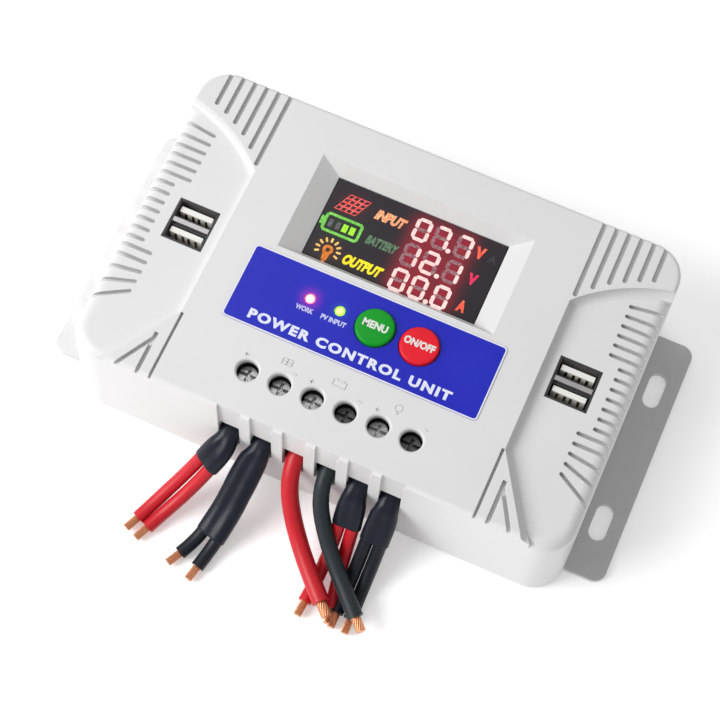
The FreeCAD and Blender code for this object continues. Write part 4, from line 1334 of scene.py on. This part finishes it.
@dataclass
class Housing:
    """Dresses the CAD nodes that keep their own shape."""

    plain: dict[str, Finish] = field(default_factory=lambda: {
        "mounting_plate": PLATE_METAL, "top_cover": CoverShell(), "face_label": PrintedFilm(),
        "menu_plunger": BLACK_MOULDING, "power_plunger": BLACK_MOULDING,
        "tact_switches": BLACK_MOULDING, "display_filter": ScreenFilm(),
        "display_module": BLACK_MOULDING, "display_board": LAMINATE,
        "main_board": LAMINATE, "board_standoffs": BRASS, "board_screws": ZINC,
        "cover_screws": ZINC, "thermal_pad": PAD_RUBBER, "power_transistors": BLACK_MOULDING,
        "clamp_bar": ALUMINIUM, "filter_capacitors": CAN_SLEEVE, "choke_coil": FERRITE,
        "control_chips": BLACK_MOULDING, "board_connector": BLACK_MOULDING,
        "left_usb_shell": NICKEL, "right_usb_shell": NICKEL, "usb_liners": BLACK_MOULDING,
        "usb_tongues": WHITE_MOULDING, "usb_boards": LAMINATE,
        "terminal_block": BLACK_MOULDING, "contact_bars": BRASS, "wire_pins": COPPER,
        "work_lamp": LampGlow("red_lamp", RED_LAMP, (1.0, 0.86, 0.84), (1.0, 0.20, 0.26)),
        "pv_lamp": LampGlow("green_lamp", GREEN_LAMP, (0.72, 1.0, 0.22), (0.36, 0.80, 0.03),
                            strength=1.0),
        "menu_button": GREEN_CAP, "power_button": RED_CAP,
    })
    # Screws 4 and 6 get the darker finish as painted shade for their deeper holes.
    shaded_screws: tuple[int, ...] = (4, 6)

    def build(self) -> None:
        """Give each node its finish."""
        for name, finish in self.plain.items():
            self.dress(name, finish)
        for number in range(1, 7):
            self.dress(f"terminal_cage_{number}", NICKEL)
            self.dress(f"terminal_screw_{number}",
                       SHADED_STEEL if number in self.shaded_screws else TERMINAL_STEEL)

    def dress(self, name: str, finish: Finish) -> None:
        """Put a finish on one CAD node.

        Args:
            name: the node.
            finish: its finish.
        """
        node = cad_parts[name]
        if not node.material_slots:
            node.data.materials.append(None)
        for material_slot in node.material_slots:
            material_slot.material = material_of(finish)
        LOG.info("dressed %s in %s", name, finish.name)


# ---------------------------------------------------------------- label

@dataclass
class LabelPrint:
    """Border, title and lamp captions on the blue label."""

    margin: float = 0.02 * MM
    captions_along: float = -13.6 * MM
    captions_high: float = 1.75 * MM

    def build(self) -> None:
        """Print everything on the label."""
        low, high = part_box("face_label")
        border = frame_strip(high.x - low.x - 2 * self.margin, high.y - low.y - 2 * self.margin,
                             (0.0, (low.y + high.y) / 2, high.z), 0.45 * MM, 1.5 * MM)
        deliver(border, "label_border", "controller", BORDER_INK)
        title = lettering("POWER CONTROL UNIT", 68.0 * MM, 3.45 * MM,
                          (-1.1 * MM, -21.75 * MM, high.z), weight=0.05, spacing=1.22)
        deliver(title, "label_title", "controller", WHITE_INK)
        captions = [lettering(words, wide, self.captions_high,
                              (across, self.captions_along, high.z), weight=0.045)
                    for words, wide, across in (("WORK", 5.9 * MM, -19.9 * MM),
                                                ("PV INPUT", 8.4 * MM, -10.1 * MM))]
        deliver(joined(captions), "lamp_captions", "controller", CAPTION_INK)


# ---------------------------------------------------------------- buttons

@dataclass
class PushButton:
    """One crowned push button with its caption."""

    name: str
    caption: str
    across: float
    caption_wide: float
    finish: Moulding
    slot: str
    along: float = -10.5 * MM
    radius: float = 6.3 * MM
    bottom: float = 37.5 * MM
    flange: float = 7.4 * MM
    flange_bottom: float = 41.2 * MM
    flange_top: float = 42.9 * MM
    top: float = 47.0 * MM
    stem: float = 2.0 * MM
    crown: float = 0.8 * MM

    def build(self) -> None:
        """Turn the cap and print its caption."""
        clear_selection()
        bpy.ops.mesh.primitive_cylinder_add(
            vertices=96, radius=self.radius, depth=self.top - self.flange_top,
            location=(self.across, self.along, (self.top + self.flange_top) / 2))
        cap = settle(bpy.context.object)
        with shaping(cap):
            pick(cap, lambda middle, normal: normal.z < -0.9)
            centre = (self.across, self.along, self.flange_top)
            for scale, down in (
                    (self.flange / self.radius, self.flange_bottom - self.flange_top),
                    (self.stem / self.flange, self.bottom - self.flange_bottom)):
                bpy.ops.mesh.extrude_region_move()
                bpy.ops.transform.resize(value=(scale, scale, 1.0), center_override=centre)
                bpy.ops.mesh.extrude_region_move(TRANSFORM_OT_translate={"value": (0, 0, down)})
            pick(cap, lambda middle, normal: normal.z > 0.9 and middle.z > self.top - 1e-6)
            bpy.ops.mesh.bevel(offset=self.crown, segments=6, affect="EDGES")
            pick(cap, lambda middle, normal: normal.z > 0.99 and middle.z > self.top - 1e-6)
            bpy.ops.mesh.inset(thickness=2.4 * MM, depth=0.0)
            bpy.ops.transform.translate(value=(0, 0, 0.02 * MM))
            face_outwards()
        deliver(cap, f"{self.name}_cap", f"{self.name}_button", self.finish)
        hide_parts(f"{self.name}_button")
        words = lettering(self.caption, self.caption_wide, 2.6 * MM,
                          (self.across - 0.05 * MM, self.along + 0.35 * MM, self.top + 0.01 * MM),
                          weight=0.045, thick=0.04 * MM)
        deliver(words, f"{self.name}_caption", f"{self.name}_button", CAP_INK)


# ---------------------------------------------------------------- display

class Segment(Enum):
    """The seven bars of a digit: middle across, middle along, and whether it lies flat."""

    TOP = (0, 2, True)
    TOP_LEFT = (-1, 1, False)
    TOP_RIGHT = (1, 1, False)
    MIDDLE = (0, 0, True)
    LOW_LEFT = (-1, -1, False)
    LOW_RIGHT = (1, -1, False)
    BOTTOM = (0, -2, True)


RIGHT_BARS = {Segment.TOP_RIGHT, Segment.LOW_RIGHT}
DIGITS = {
    "0": set(Segment) - {Segment.MIDDLE},
    "1": RIGHT_BARS,
    "2": {Segment.TOP, Segment.TOP_RIGHT, Segment.MIDDLE, Segment.LOW_LEFT, Segment.BOTTOM},
    "7": RIGHT_BARS | {Segment.TOP},
}


@dataclass(frozen=True)
class Word:
    """One word or unit of the display, with its sizes and places in millimetres."""

    name: str
    text: str
    wide: float
    high: float
    across: float
    along: float
    finish: Ink
    slant: float = 0.0


WORDS = (
    Word("word_input", "INPUT", 10.7, 3.75, -8.45, 28.0, INPUT_LIGHT, 0.28),
    Word("word_battery", "BATTERY", 11.1, 3.3, -7.5, 18.65, WORD_DARK, 0.28),
    Word("word_output", "OUTPUT", 13.5, 3.85, -10.1, 9.3, OUTPUT_LIGHT, 0.28),
    Word("unit_volt_input", "V", 3.3, 4.4, 22.1, 28.95, VOLT_LIGHT),
    Word("unit_amp_unlit", "A", 3.1, 3.1, 26.5, 28.4, UNIT_DARK),
    Word("unit_volt_battery", "V", 3.1, 4.1, 23.3, 19.5, ROSE_LIGHT),
    Word("unit_amp_output", "A", 2.9, 4.2, 23.65, 9.6, VOLT_LIGHT),
)


@dataclass
class ReadOut:
    """Everything that lights up on the display."""

    top: float = field(default_factory=lambda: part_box("display_filter")[1].z)
    digit_wide: float = 5.45 * MM
    digit_high: float = 8.35 * MM
    bar: float = 1.24 * MM
    gap: float = 0.28 * MM
    point: float = 0.4
    shown: tuple[str, ...] = ("077", "121", "000")
    points: tuple[float, ...] = (12.4 * MM, 12.5 * MM, 12.7 * MM)

    def build(self) -> None:
        """Light the digits, words, units and icons."""
        self.add_digits()
        self.add_words()
        self.add_panel_icon()
        self.add_battery_icon()
        self.add_bulb_icon()

    def show(self, pieces: Sequence[bpy.types.Object], name: str, finish: Ink) -> None:
        """Join pieces into one marking of the display."""
        deliver(joined(list(pieces)), name, "controller", finish)

    def add_digits(self) -> None:
        """Lay lit and unlit bars and the points."""
        step_x = (self.digit_wide - self.bar) / 2
        step_y = (self.digit_high - self.bar) / 4
        ends = 2 * self.point * self.bar
        flat, tall = (flat_bar(2 * step - self.gap - ends, self.bar, (0.0, 0.0, 0.0), ends / 2)
                      for step in (step_x, step_y))
        tall.data.transform(Matrix.Rotation(math.pi / 2, 4, "Z"))
        lit, unlit = [], []
        for shown, along, point_x in zip(self.shown, DIGIT_ROWS, self.points):
            for digit, across in zip(shown, DIGIT_COLUMNS):
                for segment in Segment:
                    column, level, lies = segment.value
                    place = Matrix.Translation((across + column * step_x,
                                                along + level * step_y, self.top))
                    bar = copy_of(flat if lies else tall, place)
                    (lit if segment in DIGITS[digit] else unlit).append(bar)
            lit.append(disc(0.82 * MM, (point_x, along - self.digit_high / 2 + 0.85 * MM,
                                        self.top), around=20))
        discard(flat)
        discard(tall)
        self.show(lit, "digits_lit", DIGIT_LIGHT)
        self.show(unlit, "digits_unlit", DIGIT_DARK)

    def add_words(self) -> None:
        """Write the row names and the units."""
        for word in WORDS:
            mark = lettering(word.text, word.wide * MM, word.high * MM,
                             (word.across * MM, word.along * MM, self.top), word.slant, 0.06)
            self.show([mark], word.name, word.finish)

    def add_panel_icon(self) -> None:
        """Draw the leaning grid of a solar panel."""
        clear_selection()
        wide, high, lean = 7.3 * MM, 6.6 * MM, 0.47
        middle = Vector((-21.6 * MM, 27.6 * MM, self.top))
        bpy.ops.mesh.primitive_grid_add(x_subdivisions=4, y_subdivisions=4, size=1.0,
                                        location=middle)
        grid = bpy.context.object
        grid.scale = (wide, high, 1.0)
        settle(grid)
        with shaping(grid):
            bpy.ops.mesh.select_all(action="SELECT")
            bpy.ops.mesh.inset(thickness=0.25 * MM, depth=0.0, use_individual=True)
            bpy.ops.mesh.delete(type="FACE")
            thicken(LINE_THICK)
        shift_points(grid, lambda co: Vector((co.x + (co.y - middle.y) * lean, co.y, co.z)))
        self.show([grid], "icon_panel", PANEL_LIGHT)

    def add_battery_icon(self) -> None:
        """Draw the battery outline, its nub and its four bars."""
        z = self.top
        outline = frame_strip(12.9 * MM, 7.0 * MM, (-21.6 * MM, 19.05 * MM, z), 0.95 * MM,
                              0.9 * MM, steps=1)
        nub = flat_bar(1.2 * MM, 3.0 * MM, (-28.5 * MM, 19.05 * MM, z))
        self.show([outline, nub], "icon_battery", BATTERY_LIGHT)
        dim = [flat_bar(1.35 * MM, 2.7 * MM, (x * MM, 18.95 * MM, z)) for x in (-25.6, -23.0)]
        self.show(dim, "battery_bars_unlit", BAR_DARK)
        bright = [flat_bar(1.75 * MM, 2.8 * MM, (x * MM, 18.95 * MM, z)) for x in (-20.6, -18.1)]
        self.show(bright, "battery_bars_lit", BAR_LIGHT)

    def add_bulb_icon(self) -> None:
        """Draw the bulb and its rays."""
        z = self.top
        centre = Vector((-22.5 * MM, 9.9 * MM, z))
        glass = disc(1.75 * MM, tuple(centre), 0.75 * MM, around=24)
        neck = flat_bar(2.0 * MM, 2.3 * MM, (centre.x, centre.y - 2.6 * MM, z))
        shift_points(neck, lambda co: Vector((
            centre.x + (co.x - centre.x) * (1.0 + (co.y - centre.y + 2.6 * MM) * 180), co.y,
            co.z)))
        foot = flat_bar(1.0 * MM, 0.55 * MM, (centre.x, centre.y - 4.1 * MM, z))
        self.show([glass, neck, foot], "icon_bulb", BULB_LIGHT)
        ray = flat_bar(1.25 * MM, 0.72 * MM, (3.55 * MM, 0.0, 0.0), 0.2 * MM)
        rays = [copy_of(ray, Matrix.Translation(centre)
                        @ Matrix.Rotation(math.radians(-24 + 28.5 * number), 4, "Z"))
                for number in range(9)]
        discard(ray)
        self.show(rays, "bulb_rays", RAY_LIGHT)


# ---------------------------------------------------------------- USB sockets

@dataclass
class UsbSockets:
    """Gilt contacts on the four tongues and a dark collar around each double socket."""

    across: float = 65.4 * MM
    along: float = -0.8 * MM
    top: float = 42.0 * MM
    wide: float = 13.9 * MM
    deep: float = 14.8 * MM
    rim: float = 0.75 * MM
    port_along: float = 3.8 * MM
    tongue_shift: float = 0.55 * MM
    tongue_half: float = 0.92 * MM
    contact_top: float = 40.7 * MM
    contact_long: float = 9.0 * MM
    contact_places: tuple[float, ...] = (-3.5 * MM, -1.0 * MM, 1.0 * MM, 3.5 * MM)

    def build(self) -> None:
        """Fit out both sides."""
        for side, label in ((-1, "left"), (1, "right")):
            self.add_contacts(side, label)
            self.add_collar(side, label)

    def add_contacts(self, side: int, label: str) -> None:
        """Lay four strips on the front face of each tongue.

        Args:
            side: -1 for the left socket, 1 for the right one.
            label: the side's name.
        """
        strips = []
        stand = Matrix.Rotation(math.radians(90), 4, "X")
        for port in (-1, 1):
            face = self.along + port * self.port_along + self.tongue_shift - self.tongue_half
            for place in self.contact_places:
                strip = flat_bar(0.9 * MM, self.contact_long, (0.0, 0.0, 0.0), thick=0.06 * MM)
                strip.data.transform(Matrix.Translation(
                    (side * self.across + place, face,
                     self.contact_top - self.contact_long / 2)) @ stand)
                strips.append(strip)
        deliver(joined(strips), f"{label}_usb_contacts", "controller", GOLD)

    def add_collar(self, side: int, label: str) -> None:
        """Set the thin dark collar on the shell's rim.

        Args:
            side: -1 for the left socket, 1 for the right one.
            label: the side's name.
        """
        collar = frame_strip(self.wide, self.deep, (side * self.across, self.along, self.top),
                             self.rim, 0.5 * MM, 0.2 * MM, 3)
        deliver(collar, f"{label}_usb_collar", "controller", BLACK_MOULDING)


# ---------------------------------------------------------------- raised marks

@dataclass
class RaisedMarks:
    """Faint generic marks moulded on the cover beside the terminals."""

    top: float = field(default_factory=lambda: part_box("top_cover")[1].z)
    high: float = 0.14 * MM
    icons_along: float = -31.9 * MM
    signs_along: float = -34.6 * MM
    signs_aside: float = 2.6 * MM
    sign_long: float = 1.5 * MM
    sign_stroke: float = 0.36 * MM
    panel_across: float = -17.4 * MM
    terminal_across: float = 1.2 * MM
    lamp_across: float = 19.6 * MM

    def build(self) -> None:
        """Mould a panel, a battery, a lamp and the signs of their poles."""
        marks = [self.box(3.6 * MM, self.panel_across),
                 self.bar(3.2 * MM, 0.3 * MM, self.panel_across),
                 self.bar(0.3 * MM, 1.9 * MM, self.panel_across),
                 self.box(4.6 * MM, 0.0)]
        marks += [self.bar(0.7 * MM, 0.4 * MM, side * self.terminal_across,
                           self.icons_along + 1.35 * MM) for side in (-1, 1)]
        marks += [disc(1.35 * MM, (self.lamp_across, self.icons_along + 0.3 * MM, self.top),
                       1.0 * MM, self.high),
                  self.bar(0.9 * MM, 0.9 * MM, self.lamp_across, self.icons_along - 1.4 * MM)]
        for pole in range(6):
            positive = pole % 2 == 0
            across = (pole - 2.5) * POLE_PITCH * MM + (-1 if positive else 1) * self.signs_aside
            marks.append(self.bar(self.sign_long, self.sign_stroke, across, self.signs_along))
            if positive:
                marks.append(self.bar(self.sign_stroke, self.sign_long, across,
                                      self.signs_along))
        deliver(joined(marks), "terminal_marks", "controller", CoverShell())

    def box(self, wide: float, across: float) -> bpy.types.Object:
        """Raise one icon's outline on the cover."""
        return frame_strip(wide, 2.3 * MM, (across, self.icons_along, self.top), 0.35 * MM,
                           0.2 * MM, self.high, 2)

    def bar(self, wide: float, deep: float, across: float,
            along: Optional[float] = None) -> bpy.types.Object:
        """Raise one bar on the cover.

        Args:
            wide: its size across X.
            deep: its size along Y.
            across: its middle's place across.
            along: its middle's place along, or None for the icons' own line.

        Returns:
            The bar.
        """
        place = self.icons_along if along is None else along
        return flat_bar(wide, deep, (across, place, self.top), thick=self.high)


# ---------------------------------------------------------------- assembly

def main() -> None:
    """Build every sub-assembly in order."""
    logging.basicConfig(level=logging.INFO, format="%(message)s")
    Studio().build()
    Wiring().build()
    Housing().build()
    LabelPrint().build()
    PushButton("menu", "MENU", 2.6 * MM, 8.2 * MM, GREEN_CAP, "button_green").build()
    PushButton("power", "ON/OFF", 17.5 * MM, 10.2 * MM, RED_CAP, "button_red").build()
    ReadOut().build()
    UsbSockets().build()
    RaisedMarks().build()


if __name__ == "__main__":
    main()
